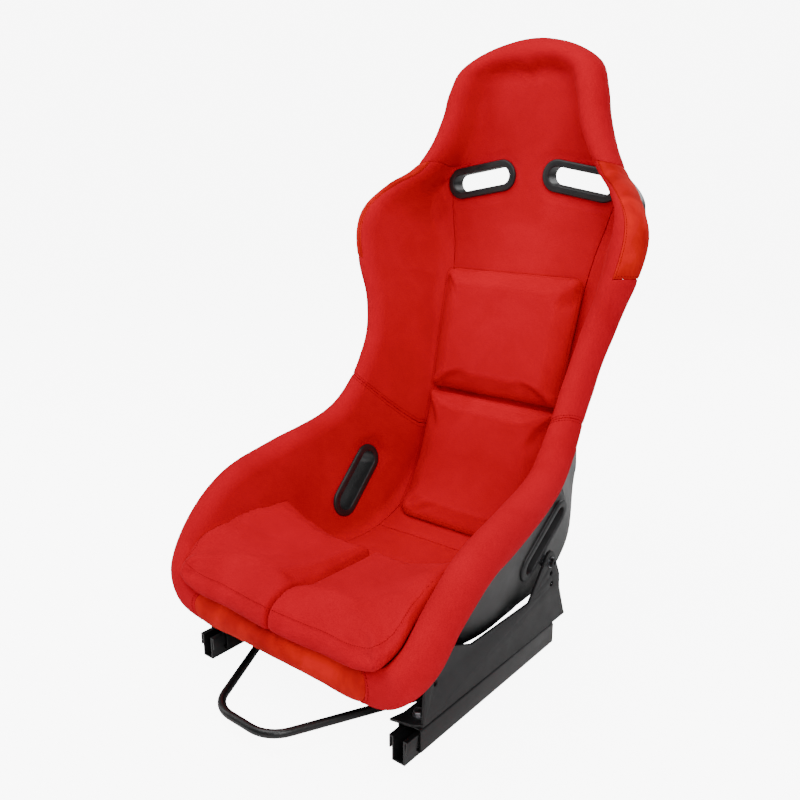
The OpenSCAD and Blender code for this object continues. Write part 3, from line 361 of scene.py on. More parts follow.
# ---------------------------------------------------------------- the seat's sections
# Each row: rim tube centre x, y, z; centre line y, z; half width of the flat floor;
# radius of the rim roll; length of the wrap outside; half width of the shell's floor.
SEAT_ROWS = np.array([
    [0, -180, 112, -130, 132, 20, 24, 27, 20], [80, -183, 112, -126, 131, 60, 24, 27, 60],
    [145, -186, 113, -118, 130, 110, 25, 27, 110], [195, -184, 124, -106, 129, 145, 26, 26, 160],
    [222, -160, 155, -88, 127, 160, 27, 40, 182], [230, -118, 205, -60, 124, 165, 27, 46, 190],
    [231, -55, 248, -15, 120, 166, 28, 48, 194], [228, 30, 270, 50, 115, 166, 28, 46, 196],
    [222, 95, 284, 125, 112, 164, 27, 40, 190], [215, 148, 300, 195, 117, 160, 26, 36, 187],
    [208, 185, 322, 250, 142, 156, 26, 34, 184], [204, 214, 353, 288, 195, 153, 25, 34, 184],
    [202, 242, 393, 315, 262, 150, 25, 36, 178], [204, 267, 440, 340, 345, 148, 25, 40, 174],
    [217, 287, 505, 368, 450, 148, 26, 42, 172], [236, 292, 565, 392, 535, 150, 27, 44, 176],
    [247, 298, 620, 410, 600, 158, 27, 44, 184], [242, 313, 660, 421, 650, 170, 27, 44, 188],
    [215, 343, 697, 427, 692, 176, 26, 42, 188], [180, 372, 727, 428, 728, 150, 25, 40, 164],
    [152, 388, 767, 425, 770, 120, 25, 38, 136], [133, 397, 812, 420, 810, 98, 25, 38, 114],
    [123, 403, 852, 418, 838, 88, 25, 38, 104], [105, 413, 888, 417, 858, 72, 25, 36, 86],
    [58, 423, 909, 418, 868, 54, 25, 34, 64], [0, 428, 914, 419, 872, 48, 25, 34, 58]], float)
LAST_ROW = len(SEAT_ROWS) - 1
SHELL_WALL = 4.0
FOAM = 18.0
HEM_LIFT = 4.9          # height of the hem over the shell's outer face
CORNER_ROUND = 18.0
J_FLOOR, J_CORNER, J_WALL, J_ROLL, J_HEM = 3.0, 6.0, 8.0, 16.0, 18.0
J_PATCH = 11.0          # inner edge of the shoulder patches
T_LIP, T_BACK, T_BOLSTER, T_HEAD, T_PATCH, T_HEAD_SIDE = 2.0, 9.0, 11.3, 14.8, 15.2, 19.3


def unit(v):
    return v / np.linalg.norm(v)


def square_to(v, n):
    return unit(v - (v @ n) * n)


def smooth_step(x):
    x = np.clip(x, 0.0, 1.0)
    return x * x * (3 - 2 * x)


def seat_row(k):
    if k < 0 or k > LAST_ROW:
        row = SEAT_ROWS[-k if k < 0 else 2 * LAST_ROW - k].copy()
        row[0] = -row[0]
        return row
    return SEAT_ROWS[k]


def station(t):
    i = min(int(t), LAST_ROW - 1)
    u = t - i
    a, b, c, d = (seat_row(i + k) for k in (-1, 0, 1, 2))
    return 0.5 * (2 * b + (c - a) * u + (2 * a - 5 * b + 4 * c - d) * u * u + (3 * (b - c) + d - a) * u ** 3)


def spine(t):
    row = station(t)
    return np.array([0.0, row[3], row[4]])


def rim(t):
    return station(t)[:3]


def along(line, t):
    return unit(line(min(t + 0.05, LAST_ROW)) - line(max(t - 0.05, 0.0)))


def spine_normal(t):
    a = along(spine, t)
    return np.array([0.0, -a[2], a[1]])


def roll_direction(t):
    n = spine_normal(t)
    g = np.array([1.0, 0, 0]) if t < 0.1 or t > LAST_ROW - 0.1 else along(rim, t)
    return unit(n - (n @ g) * g)


def polar(r, a):
    return np.array([r * math.cos(a), r * math.sin(a)])


class Section:
    """One half section of the seat, from the centre line over the bolster to the hem outside."""

    def __init__(self, t):
        row = station(t)
        self.t = t
        self.start, self.rim = spine(t), rim(t)
        off = self.rim - self.start
        self.normal = spine_normal(t)
        self.side = square_to(off, self.normal)
        self.up = roll_direction(t)
        self.out = square_to(off, self.up)
        c = np.array([off @ self.side, off @ self.normal])
        r = row[6]
        k = np.array([min(row[5], c[0] - r - 4), 0.0])
        reach = np.linalg.norm(c - k)
        self.r = min(r, reach - 1)
        lean = math.atan2(c[1], c[0] - k[0]) + math.asin(self.r / reach)
        self.touch = k + polar(math.sqrt(reach ** 2 - self.r ** 2), lean)
        ks = np.array([min(row[8], c[0] - 8), -FOAM])
        wall_lean = math.atan2(c[1] - ks[1], c[0] - ks[0])
        self.wall = polar(1, wall_lean)
        self.outward = polar(1, wall_lean - math.pi / 2)
        self.a = k - np.array([min(CORNER_ROUND, k[0] * 0.4), 0])
        self.k = k
        self.b = k + polar(min(CORNER_ROUND, np.linalg.norm(self.touch - k) * 0.5), lean)
        self.turn = (lean + math.pi / 2, wall_lean - math.pi / 2)
        wall_length = np.linalg.norm(c - ks) - CORNER_ROUND
        self.hem_j = J_WALL - (J_WALL - J_CORNER) * min(row[7], wall_length - 1) / wall_length
        self.c, self.ks = c, ks

    def lay(self, flat, j):
        """Section points as points of the seat: floor square to the centre line, roll square to the rim."""
        w = smooth_step((j - J_FLOOR) / (J_WALL - J_FLOOR))[:, None]
        q = flat - self.c
        by_floor = self.start + flat[:, :1] * self.side + flat[:, 1:] * self.normal
        by_rim = self.rim + q[:, :1] * self.out + q[:, 1:] * self.up
        return by_floor * (1 - w) + by_rim * w

    def cover(self, j):
        j = np.asarray(j, float)
        f = (j / J_FLOOR)[:, None]
        flat = self.a * f
        f = (j[:, None] - J_FLOOR) / (J_CORNER - J_FLOOR)
        turned = self.a * (1 - f) ** 2 + 2 * self.k * f * (1 - f) + self.b * f ** 2
        flat = np.where(f > 0, turned, flat)
        f = (j[:, None] - J_CORNER) / (J_WALL - J_CORNER)
        flat = np.where(f > 0, self.b + (self.touch - self.b) * f, flat)
        f = (j[:, None] - J_WALL) / (J_ROLL - J_WALL)
        angle = self.turn[0] + (self.turn[1] - self.turn[0]) * f
        flat = np.where(f > 0, self.c + self.r * np.hstack([np.cos(angle), np.sin(angle)]), flat)
        points = self.lay(flat, j)
        f = (j[:, None] - J_ROLL) / (J_HEM - J_ROLL)
        lift = (self.r - SHELL_WALL) * (1 - f) + HEM_LIFT * f + 1.5 * np.sin(math.pi * f)
        wall = self.shell(J_WALL + (self.hem_j - J_WALL) * np.clip(f[:, 0], 0, 1), True)
        wrap = wall + lift * (self.outward[0] * self.out + self.outward[1] * self.up)
        return np.where(f > 0, wrap, points)

    def shell(self, j, outside):
        j = np.asarray(j, float)
        down = np.array([0.0, -SHELL_WALL]) if outside else np.zeros(2)
        over = SHELL_WALL * self.outward if outside else np.zeros(2)
        first = np.array([self.ks[0] - CORNER_ROUND, -FOAM]) + down
        corner = self.ks + down + over
        last = self.ks + CORNER_ROUND * self.wall + over
        middle = np.array([0.0, -FOAM]) + down
        f = (j / J_FLOOR)[:, None]
        flat = middle + (first - middle) * f
        f = (j[:, None] - J_FLOOR) / (J_CORNER - J_FLOOR)
        turned = first * (1 - f) ** 2 + 2 * corner * f * (1 - f) + last * f ** 2
        flat = np.where(f > 0, turned, flat)
        f = (j[:, None] - J_CORNER) / (J_WALL - J_CORNER)
        flat = np.where(f > 0, last + (self.c + over - last) * f, flat)
        return self.lay(flat, j)


# ---------------------------------------------------------------- harness slots
BEZEL_L, BEZEL_W, BEZEL_RIM = 142.0, 54.0, 12.0
OPENING_R = BEZEL_W / 2 - BEZEL_RIM
SLOT_HALF = (BEZEL_L - BEZEL_W) / 2


class Slot:
    """A slot's own axes: X along it, Z away from the occupant, origin on the cover."""

    def __init__(self, origin, long, out, depth):
        self.origin = np.array(origin, float)
        self.z = unit(np.array(out, float))
        self.x = square_to(np.array(long, float), self.z)
        self.y = np.cross(self.z, self.x)
        self.depth = depth

    def local(self, points):
        d = points - self.origin
        return np.stack([d @ self.x, d @ self.y, d @ self.z], axis=-1)

    def world(self, local):
        return self.origin + local[..., :1] * self.x + local[..., 1:2] * self.y + local[..., 2:] * self.z

    def settle(self, points, level, reach, flat=2.0):
        """Points near the slot lie down to one level, so that the bezel sits on a flat seat."""
        q = self.local(points)
        gap = np.hypot(np.maximum(np.abs(q[..., 0]) - SLOT_HALF, 0), q[..., 1]) - BEZEL_W / 2 - flat
        w = (1 - smooth_step(gap / reach)) * (np.abs(q[..., 2] - level) < 24)
        q[..., 2] += (level - q[..., 2]) * w
        return self.world(q)


def lap_slot():
    t, j = 8.8, 6.8
    skin = Section(t).cover([j])[0]
    out = unit(np.cross(Section(t + 0.2).cover([j])[0] - skin, Section(t).cover([j + 0.2])[0] - skin))
    depth = (Section(t).shell([j], True)[0] - skin) @ out + 1
    slope = math.radians(42)
    return Slot(skin, square_to(np.array([0, math.cos(slope), math.sin(slope)]), out), out, depth)


SHOULDER_SLOPE = math.radians(-10)
SHOULDER = Slot((97.0, spine(18.6)[1], 713.0), (math.cos(SHOULDER_SLOPE), 0, math.sin(SHOULDER_SLOPE)),
                (0, 1, 0), FOAM + SHELL_WALL)
LAP = lap_slot()


def stadium(radius, arc_steps=20, side_steps=8):
    """Points round a slot-shaped outline of that end radius."""
    points = []
    for end in (1, -1):
        for i in range(arc_steps + 1):
            a = -math.pi / 2 + math.pi * i / arc_steps
            points.append((end * (SLOT_HALF + radius * math.cos(a)), end * radius * math.sin(a)))
        for i in range(1, side_steps):
            points.append((end * SLOT_HALF * (1 - 2 * i / side_steps), end * radius))
    return np.array(points)


def slot_cutter(slot, side):
    outline = stadium(OPENING_R + 2.6)
    n = len(outline)
    rings = [np.column_stack([outline, np.full(n, z)]) for z in (-25.0, slot.depth + 25.0)]
    points = slot.world(np.vstack(rings)) * np.array([side, 1, 1])
    faces = [[i, (i + 1) % n, n + (i + 1) % n, n + i] for i in range(n)]
    faces += [list(range(n)), list(range(n, 2 * n))]
    return object_from("slot_cutter", points, faces, GELCOAT, smooth=False)


def swept_ring(slot, profile):
    """Points and faces of a bezel: its profile swept round the slot, for both sides of the seat."""
    rings = [np.column_stack([stadium(OPENING_R + d), np.full(len(stadium(1.0)), z)]) for d, z in profile]
    n, m = len(rings[0]), len(rings)
    half = slot.world(np.vstack(rings))
    faces = [[a * n + i, a * n + (i + 1) % n, (a + 1) % m * n + (i + 1) % n, (a + 1) % m * n + i]
             for a in range(m) for i in range(n)]
    points = np.vstack([half, half * np.array([-1, 1, 1])])
    return points, faces + [[v + m * n for v in face[::-1]] for face in faces]


def bezel_profile(face, seat, sleeve_end):
    """Cross-section from the sleeve's mouth over the rounded rim to its back; face and seat are levels."""
    s = 1 if face > seat else -1
    r = BEZEL_RIM
    rounded = [(0.0, face - s * 2.2), (0.15, face - s * 1.3), (0.7, face - s * 0.5), (1.5, face - s * 0.1),
               (2.4, face), (5.0, face + s * 0.15), (8.0, face - s * 0.05), (9.8, face - s * 0.5),
               (11.0, face - s * 1.2), (11.7, face - s * 2.2), (r, face - s * 3.4), (r, seat)]
    sleeve = [(0.0, sleeve_end), (0.0, (sleeve_end + face) / 2)]
    return sleeve + rounded + [(2.0, seat), (2.0, sleeve_end)]


def make_bezels():
    names = {("shoulder", "front"): SHOULDER, ("shoulder", "rear"): SHOULDER,
             ("lap", "inner"): LAP, ("lap", "outer"): LAP}
    for (where, which), slot in names.items():
        if which in ("front", "inner"):
            profile = bezel_profile(-4.5, 1.5, slot.depth / 2)
        else:
            profile = bezel_profile(slot.depth + 4.5, slot.depth + 0.3, slot.depth / 2 + 0.1)
        points, faces = swept_ring(slot, profile)
        piece = object_from(f"{where}_slot_bezels_{which}", points, faces, BEZEL)
        smooth_by_angle(piece, 38)
        finish_piece(piece, "seat", "bezel_plastic", f"{where}_bezels_{which}")


# ---------------------------------------------------------------- covers
def finish_piece(piece, body, slot, *nodes):
    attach(piece, body)
    if nodes:
        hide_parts(*nodes)
    return piece


def seam_points():
    """Points every half millimetre or so along every seam and hem of the left half, and its mirror image."""
    lines = [(0.0, J_FLOOR + 0.05, T_HEAD_SIDE, J_FLOOR + 0.05), (T_BACK, 0, T_BACK, J_FLOOR),
             (T_HEAD, 0, T_HEAD, J_FLOOR), (T_BOLSTER, J_FLOOR, T_BOLSTER, J_HEM),
             (T_LIP, J_FLOOR, T_LIP, J_HEM), (T_HEAD_SIDE, J_FLOOR, T_HEAD_SIDE, J_HEM),
             (T_PATCH, J_PATCH, T_PATCH, J_HEM), (T_PATCH, J_PATCH, T_HEAD_SIDE, J_PATCH),
             (0.0, J_HEM, LAST_ROW, J_HEM)]
    points = []
    for ta, ja, tb, jb in lines:
        if ta == tb:
            points.append(Section(ta).cover(np.linspace(ja, jb, 500)))
        else:
            n = int((tb - ta) * 60)
            points += [Section(ta + (tb - ta) * i / n).cover([ja + (jb - ja) * i / n]) for i in range(n + 1)]
    points = np.vstack(points)
    return np.vstack([points, points * np.array([-1, 1, 1])])


def seam_finder():
    points = seam_points()
    tree = KDTree(len(points))
    for i, p in enumerate(points):
        tree.insert(p, i)
    tree.balance()
    return tree


SEAMS = seam_finder()
SEAM_RADIUS = 1.5


def cover_relief(points):
    """How far the cloth stands off its plain shape: foam waves, seam valleys and small puckers."""
    heights = np.empty(len(points))
    for i, p in enumerate(points):
        place = Vector((p[0] + 300.0, p[1], p[2]))
        gap = SEAMS.find(p)[2]
        wave = 0.8 * noise.noise(place / 64.0) + 0.22 * noise.noise(place / 23.0)
        pucker = 0.5 * noise.noise(place / 7.0) * math.exp(-gap / 8.0)
        valley = -0.9 * math.exp(-(gap / 5.0) ** 2)
        edge = max(SEAM_RADIUS - gap, 0.0)
        heights[i] = wave + pucker + valley - SEAM_RADIUS + math.sqrt(SEAM_RADIUS ** 2 - edge ** 2)
    return heights


def grid_normals(grid):
    along_t = np.gradient(grid, axis=0)
    along_j = np.gradient(grid, axis=1)
    normals = np.cross(along_j, along_t)
    on_centre = np.abs(grid[..., 0]) < 1e-6
    normals[on_centre, 0] = 0.0
    return normals / np.maximum(np.linalg.norm(normals, axis=-1, keepdims=True), 1e-9)


SEAM_FINE = np.array([0.0, 0.35, 0.9, 1.6, 2.8, 4.6])      # rows of points beside a seam, in millimetres


def spaced(start, end, length_at, step, fine_start=True, fine_end=True):
    """Parameter values from start to end, about step millimetres apart and closer beside a seam."""
    dense = np.linspace(start, end, 400)
    run = length_at(dense)
    total = run[-1]
    between = max(2, int(round((total - 2 * SEAM_FINE[-1]) / step)) + 1)
    places = np.unique(np.concatenate([
        SEAM_FINE if fine_start else [0.0],
        total - (SEAM_FINE if fine_end else np.array([0.0])),
        np.linspace(SEAM_FINE[-1], total - SEAM_FINE[-1], between) if total > 14 else []]))
    return np.interp(places, run, dense)


def j_values(ta, tb, ja, jb, step, fine_start=True, fine_end=True):
    middle = Section((ta + tb) / 2)

    def run(j):
        points = middle.cover(j)
        return np.concatenate([[0], np.cumsum(np.linalg.norm(np.diff(points, axis=0), axis=1))])
    return spaced(ja, jb, run, step, fine_start, fine_end)


def t_values(ta, tb, j, step, fine_start=True, fine_end=True):
    def run(t):
        points = np.array([Section(v).cover([j])[0] for v in t])
        return np.concatenate([[0], np.cumsum(np.linalg.norm(np.diff(points, axis=0), axis=1))])
    return spaced(ta, tb, run, step, fine_start, fine_end)


COVER_THICK = 2.4


def half_panel(ts, js):
    """Outer and inner skin of a panel's left half."""
    plain = np.array([Section(t).cover(js) for t in ts])
    normals = grid_normals(plain)
    heights = cover_relief(plain.reshape(-1, 3)).reshape(plain.shape[:2])
    outer = plain + normals * heights[..., None]
    for slot in (SHOULDER, LAP):
        outer = slot.settle(outer, 0.4, 17.0)
    outer[np.abs(plain[..., 0]) < 1e-6, 0] = 0.0
    inner = outer - normals * COVER_THICK
    inner[np.abs(plain[..., 0]) < 1e-6, 0] = 0.0
    return outer, inner


def panel_mesh(parts, side):
    """Points and faces of a closed panel. Each part is (outer, inner, which edges are walled)."""
    points, faces = [], []
    for outer, inner, walls in parts:
        nt, nj = outer.shape[:2]
        for m in ((1, -1) if side == 0 else (side,)):
            base = sum(len(p) for p in points)
            points.append(np.vstack([outer.reshape(-1, 3), inner.reshape(-1, 3)]) * np.array([m, 1, 1]))

            def at(layer, i, j, base=base, nt=nt, nj=nj):
                return base + layer * nt * nj + i * nj + j
            for i in range(nt - 1):
                for j in range(nj - 1):
                    quad = [(i, j), (i, j + 1), (i + 1, j + 1), (i + 1, j)]
                    faces.append([at(0, *q) for q in quad][::m])
                    faces.append([at(1, *q) for q in quad][::-m])
            rims = {"t0": [(0, j) for j in range(nj)], "t1": [(nt - 1, j) for j in range(nj)],
                    "j0": [(i, 0) for i in range(nt)], "j1": [(i, nj - 1) for i in range(nt)]}
            for key in walls:
                line = rims[key]
                faces += [[at(0, *p), at(0, *q), at(1, *q), at(1, *p)] for p, q in zip(line, line[1:])]
    return np.vstack(points), faces


def cover_panel(name, material, slot, nodes, ta, tb, ja, jb, side, step=4.5, cuts=()):
    ends = ta > 0, tb < LAST_ROW
    centred = ja == 0
    ts = t_values(ta, tb, (ja + jb) / 2, step, *ends)
    js = j_values(ta, tb, ja, jb, step, not centred)
    edges = (("t0", ends[0]), ("t1", ends[1]), ("j0", not centred), ("j1", True))
    walls = [key for key, walled in edges if walled]
    points, faces = panel_mesh([(*half_panel(ts, js), walls)], side)
    piece = object_from(name, points, faces, material)
    for cut, m in cuts:
        cut_away(piece, slot_cutter(cut, m))
    return finish_piece(piece, "seat", slot, *nodes)


SEAM_HALF = 0.006       # half gap at a seam, in stations along the seat


def make_head_cover():
    step = 4.5
    js_centre = j_values(17, 17, 0, J_FLOOR, step, False)
    js_side = j_values(T_HEAD_SIDE, 22, J_FLOOR, J_HEM, step)[1:]
    low = half_panel(t_values(T_HEAD + SEAM_HALF, T_HEAD_SIDE, 1.5, step, True, False), js_centre)
    high = half_panel(t_values(T_HEAD_SIDE, LAST_ROW, 8, step, True, False),
                      np.concatenate([js_centre, js_side]))
    points, faces = panel_mesh([(*low, ["t0", "j1"]), (*high, ["j1"])], 0)
    n = len(js_centre)
    nt, nj = high[0].shape[:2]
    for base, m in ((2 * 2 * low[0].shape[0] * n, 1), (2 * 2 * low[0].shape[0] * n + 2 * nt * nj, -1)):
        faces += [[base + j, base + j + 1, base + nt * nj + j + 1, base + nt * nj + j]
                  for j in range(n - 1, nj - 1)]
    piece = object_from("head_cover_cloth", points, faces, RED_CLOTH, weld=2e-5)
    for m in (1, -1):
        cut_away(piece, slot_cutter(SHOULDER, m))
    finish_piece(piece, "seat", "red_cloth", "head_cover")


def make_covers():
    make_head_cover()
    h = SEAM_HALF
    edge = J_FLOOR + 0.1
    cover_panel("back_panel_cloth", RED_CLOTH, "red_cloth", ["back_panel_cover"],
                T_BACK + h, T_HEAD - h, 0, J_FLOOR, 0, 6.0)
    cover_panel("seat_base_cloth", RED_CLOTH, "red_cloth", ["seat_base_cover"],
                0, T_BACK - h, 0, J_FLOOR, 0, 6.0)
    cover_panel("front_lip_suede", SUEDE, "red_suede", ["front_lip_cover"], 0, T_LIP - h, edge, J_HEM, 0)
    for word, m in (("left", 1), ("right", -1)):
        cover_panel(f"thigh_bolster_cloth_{word}", RED_CLOTH, "red_cloth", [f"thigh_bolster_{word}"],
                    T_LIP + h, T_BOLSTER - h, edge, J_HEM, m, cuts=[(LAP, m)])
        cover_panel(f"shoulder_suede_{word}", SUEDE, "red_suede", [f"shoulder_patch_{word}"],
                    T_PATCH + h, T_HEAD_SIDE - h, J_PATCH + 0.03, J_HEM, m)
        make_back_bolster(word, m)


def make_back_bolster(word, m):
    """Full height below the shoulder patch, and only its inner part beside the patch."""
    step, h = 4.5, SEAM_HALF
    edge = J_FLOOR + 0.1
    js_in = j_values(17, 17, edge, J_PATCH - 0.03, step)
    js_out = j_values(14, 14, J_PATCH - 0.03, J_HEM, step)[1:]
    low = half_panel(t_values(T_BOLSTER + h, T_PATCH - h, 8, step), np.concatenate([js_in, js_out]))
    high = half_panel(t_values(T_PATCH - h, T_HEAD_SIDE - h, 6, step), js_in)
    points, faces = panel_mesh([(*low, ["t0", "j0", "j1"]), (*high, ["t1", "j0", "j1"])], m)
    nt, nj = low[0].shape[:2]
    n = len(js_in)
    top = (nt - 1) * nj
    faces += [[top + j, top + j + 1, nt * nj + top + j + 1, nt * nj + top + j]
              for j in range(n - 1, nj - 1)]
    piece = object_from(f"back_bolster_cloth_{word}", points, faces, RED_CLOTH, weld=2e-5)
    cut_away(piece, slot_cutter(SHOULDER, m))
    finish_piece(piece, "seat", "red_cloth", f"back_bolster_{word}")


def make_shell():
    """Moulded shell, its outer face flat under each harness bezel."""
    ts = np.linspace(0, LAST_ROW, 231)
    js = np.concatenate([np.linspace(0, J_FLOOR, 20), np.linspace(J_FLOOR, J_CORNER, 10)[1:],
                         np.linspace(J_CORNER, J_WALL, 16)[1:]])
    skins = []
    for outside in (True, False):
        grid = np.array([Section(t).shell(js, outside) for t in ts])
        for slot in (SHOULDER, LAP):
            grid = slot.settle(grid, slot.depth + 0.2 - (0 if outside else SHELL_WALL), 12.0)
        skins.append(grid)
    points, faces = panel_mesh([(skins[0], skins[1], ["j1"])], 0)
    shell = object_from("moulded_shell", points, faces, GELCOAT)
    for m in (1, -1):
        cut_away(shell, slot_cutter(SHOULDER, m))
        cut_away(shell, slot_cutter(LAP, m))
    smooth_by_angle(shell, 50)
    finish_piece(shell, "seat", "shell_gelcoat", "seat_shell")


# ---------------------------------------------------------------- pads
def plump(pad, held, cap, pressure=4.0, voxel=0.005):
    """Fills a pad like stuffed cloth: its held points stay, the rest swell by at most cap metres."""
    remesh = pad.modifiers.new("even", "REMESH")
    remesh.mode = "VOXEL"
    remesh.voxel_size = voxel
    settle_modifiers(pad)
    data = pad.data
    rest = np.array([v.co for v in data.vertices])
    group = pad.vertex_groups.new(name="held")
    for i, weight in enumerate(held(rest)):
        if weight > 0:
            group.add([i], float(weight), "REPLACE")
    cloth_mod = pad.modifiers.new("filling", "CLOTH")
    settings = cloth_mod.settings
    settings.quality = 6
    settings.mass = 0.25
    settings.tension_stiffness = 18
    settings.compression_stiffness = 18
    settings.shear_stiffness = 8
    settings.bending_stiffness = 1.5
    settings.use_pressure = True
    settings.uniform_pressure_force = pressure
    settings.vertex_group_mass = "held"
    settings.effector_weights.gravity = 0
    cloth_mod.point_cache.frame_start = 1
    cloth_mod.point_cache.frame_end = 20
    scene = bpy.context.scene
    for f in range(1, 21):
        scene.frame_set(f)
    graph = bpy.context.evaluated_depsgraph_get()
    swollen = np.array([v.co for v in pad.evaluated_get(graph).data.vertices])
    pad.modifiers.clear()
    pad.vertex_groups.clear()
    scene.frame_set(1)
    move = swollen - rest
    size = np.linalg.norm(move, axis=1, keepdims=True)
    move *= np.minimum(1.0, cap / np.maximum(size, 1e-9))
    rest = rest + move
    data.vertices.foreach_set("co", rest.ravel())
    data.update()
    finer = pad.modifiers.new("finer", "SUBSURF")
    finer.levels = finer.render_levels = 1
    settle_modifiers(pad)
    return pad


def press_seams(pad, lines, depth, width, pucker=0.0004):
    """Pulls the pad in along sewn lines, given in metres, with small puckers beside them."""
    points = np.vstack(lines)
    tree = KDTree(len(points))
    for i, p in enumerate(points):
        tree.insert(p, i)
    tree.balance()
    data = pad.data
    normals = np.array([v.normal for v in data.vertices])
    place = np.array([v.co for v in data.vertices])
    for i, p in enumerate(place):
        gap = tree.find(p)[2]
        wave = 0.0006 * noise.noise(Vector(p) / 0.055) + 0.0002 * noise.noise(Vector(p) / 0.019)
        sewn = -depth * math.exp(-(gap / width) ** 2)
        sewn += pucker * noise.noise(Vector(p) / 0.007) * math.exp(-gap / 0.009)
        place[i] = p + normals[i] * (wave + sewn)
    data.vertices.foreach_set("co", place.ravel())
    data.update()
    data.shade_smooth()


PAD_GAP = 1.6
BACK_PAD_T = 27.0
T_PAD_TOP, T_PAD_SPLIT, T_PAD_LOW = 15.3, 12.98, 9.55


def spine_run():
    t = np.linspace(8.5, 16.5, 801)
    points = np.array([spine(v) for v in t])
    run = np.concatenate([[0], np.cumsum(np.linalg.norm(np.diff(points, axis=0), axis=1))])
    return t, run


SPINE_T, SPINE_RUN = spine_run()


def on_back(flat):
    """Pattern points (across, along, height) in millimetres laid on the seat's back."""
    t = np.interp(flat[:, 1], SPINE_RUN, SPINE_T)
    return np.array([spine(v) + np.array([x, 0, 0]) + h * spine_normal(v)
                     for v, x, h in zip(t, flat[:, 0], flat[:, 2])])


def pad_outline(low, high, half_low, half_high, corners, steps=5):
    """Rounded outline of a back pad in pattern space, counter-clockwise from its lower right corner."""
    sharp = [(half_low, low, corners[0]), (half_high, high, corners[1]),
             (-half_high, high, corners[1]), (-half_low, low, corners[0])]
    points = []
    for k, (x, y, r) in enumerate(sharp):
        here = np.array([x, y], float)
        before = unit(np.array(sharp[k - 1][:2], float) - here)
        after = unit(np.array(sharp[(k + 1) % 4][:2], float) - here)
        a, b = here + before * r, here + after * r
        points += [a * (1 - f) ** 2 + 2 * here * f * (1 - f) + b * f * f for f in np.linspace(0, 1, steps)]
    dense = []
    for p, q in zip(points, points[1:] + points[:1]):
        n = max(1, int(np.linalg.norm(q - p) / 5))
        dense += [p + (q - p) * i / n for i in range(n)]
    return np.array(dense)


def inset(outline, d):
    """Outline moved inwards by d millimetres."""
    ahead, behind = np.roll(outline, -1, axis=0), np.roll(outline, 1, axis=0)
    direction = ahead - behind
    direction /= np.linalg.norm(direction, axis=1, keepdims=True)
    return outline + d * np.column_stack([-direction[:, 1], direction[:, 0]])


def make_back_pad(name, node, ta, tb, half_low, half_high, corners):
    low, high = np.interp([ta, tb], SPINE_T, SPINE_RUN)
    outline = pad_outline(low + 1, high - 1, half_low - 1, half_high - 1, corners)
    top = BACK_PAD_T + PAD_GAP - 4.5
    layers = [(2.5, PAD_GAP), (0.3, PAD_GAP + 1.5), (0, PAD_GAP + 5), (0.2, top - 13), (1.6, top - 8),
              (5.0, top - 3.6), (10.0, top - 1.0), (17.0, top)]
    rings = [np.column_stack([inset(outline, d), np.full(len(outline), z)]) for d, z in layers]
    n = len(outline)
    faces = [[a * n + i, a * n + (i + 1) % n, (a + 1) * n + (i + 1) % n, (a + 1) * n + i]
             for a in range(len(rings) - 1) for i in range(n)]
    faces += [list(range(n)), [(len(rings) - 1) * n + i for i in range(n)]]
    pad = object_from(name, np.vstack(rings), faces, PAD_CLOTH)
    hold_level = (PAD_GAP + 4) * MM
    plump(pad, lambda p: np.where(p[:, 2] < hold_level, 1.0, 0.0), 0.0055, 4.0, 0.0048)
    place = np.array([v.co for v in pad.data.vertices]) / MM
    place[:, 2] = np.clip(place[:, 2], PAD_GAP, BACK_PAD_T + PAD_GAP + 2)
    pad.data.vertices.foreach_set("co", (on_back(place) * MM).ravel())
    pad.data.update()
    seam = on_back(np.column_stack([outline, np.full(n, top - 8.0)])) * MM
    press_seams(pad, [seam], 0.0011, 0.0026)
    finish_piece(pad, "seat", "pad_cloth", node)
    return [np.vstack([seam, seam[:1]])]


# Rows over stations 0, 1, 2 ...: how far the pad's edge reaches along the section, how far it then
# stands forward and up, its rounded top edge (x, y, z from there), heights of the split and the crown.
LOBE_ROWS = np.array([
    [9.6, -12, 15, 0, 9, 28, 176, 200], [9.6, -12, 13, 0, 9, 30, 177, 203],
    [9.6, -14, 10, -2, 9, 32, 178, 205], [9.2, -14, 8, -8, 10, 28, 178, 204],
    [8.4, -6, 4, -12, 8, 18, 177, 197], [7.4, -1, 3, -12, 3, 13, 176, 188],
    [7.0, 0, 3, -12, 2, 12, 175, 184], [6.9, 0, 3, -12, 2, 12, 175, 184]], float)
T_LOBE = 6.5


def lobe_row(t):
    i = min(int(t), len(LOBE_ROWS) - 2)
    return LOBE_ROWS[i] + (LOBE_ROWS[i + 1] - LOBE_ROWS[i]) * (t - i)


def off_cover(section, j):
    """A point of the cover moved off it by the pad gap."""
    p, a, b = section.cover([j, j + 0.3, max(j - 0.3, 0)])
    nxt = Section(min(section.t + 0.1, LAST_ROW)).cover([j])[0]
    normal = unit(np.cross(a - b, nxt - p))
    return p + PAD_GAP * normal


def lobe_skin(t, fs):
    """Lower and upper skin of a lobe across station t, f from the split to the outer edge."""
    row = lobe_row(t)
    section = Section(t)
    reach = off_cover(section, row[0])
    edge = reach + np.array([0, row[1], row[2]])
    top = edge + row[3:6]
    middle = np.array([0, section.start[1], row[6]])
    crown = np.array([0.55 * top[0], (middle[1] + top[1]) / 2, row[7]])
    low, high = [], []
    for f in fs:
        if f < 0.85:
            g = f / 0.85
            low.append(off_cover(section, row[0] * g))
            high.append(middle * (1 - g) ** 2 + 2 * crown * g * (1 - g) + top * g * g)
        else:
            g = (f - 0.85) / 0.15
            low.append(reach + (edge - reach) * g)
            bulge = 3.5 * math.sin(math.pi * g) * unit(np.array([0.8, -0.5, 0.6]))
            high.append(top + (edge - top) * g + bulge)
    return np.array(low), np.array(high)


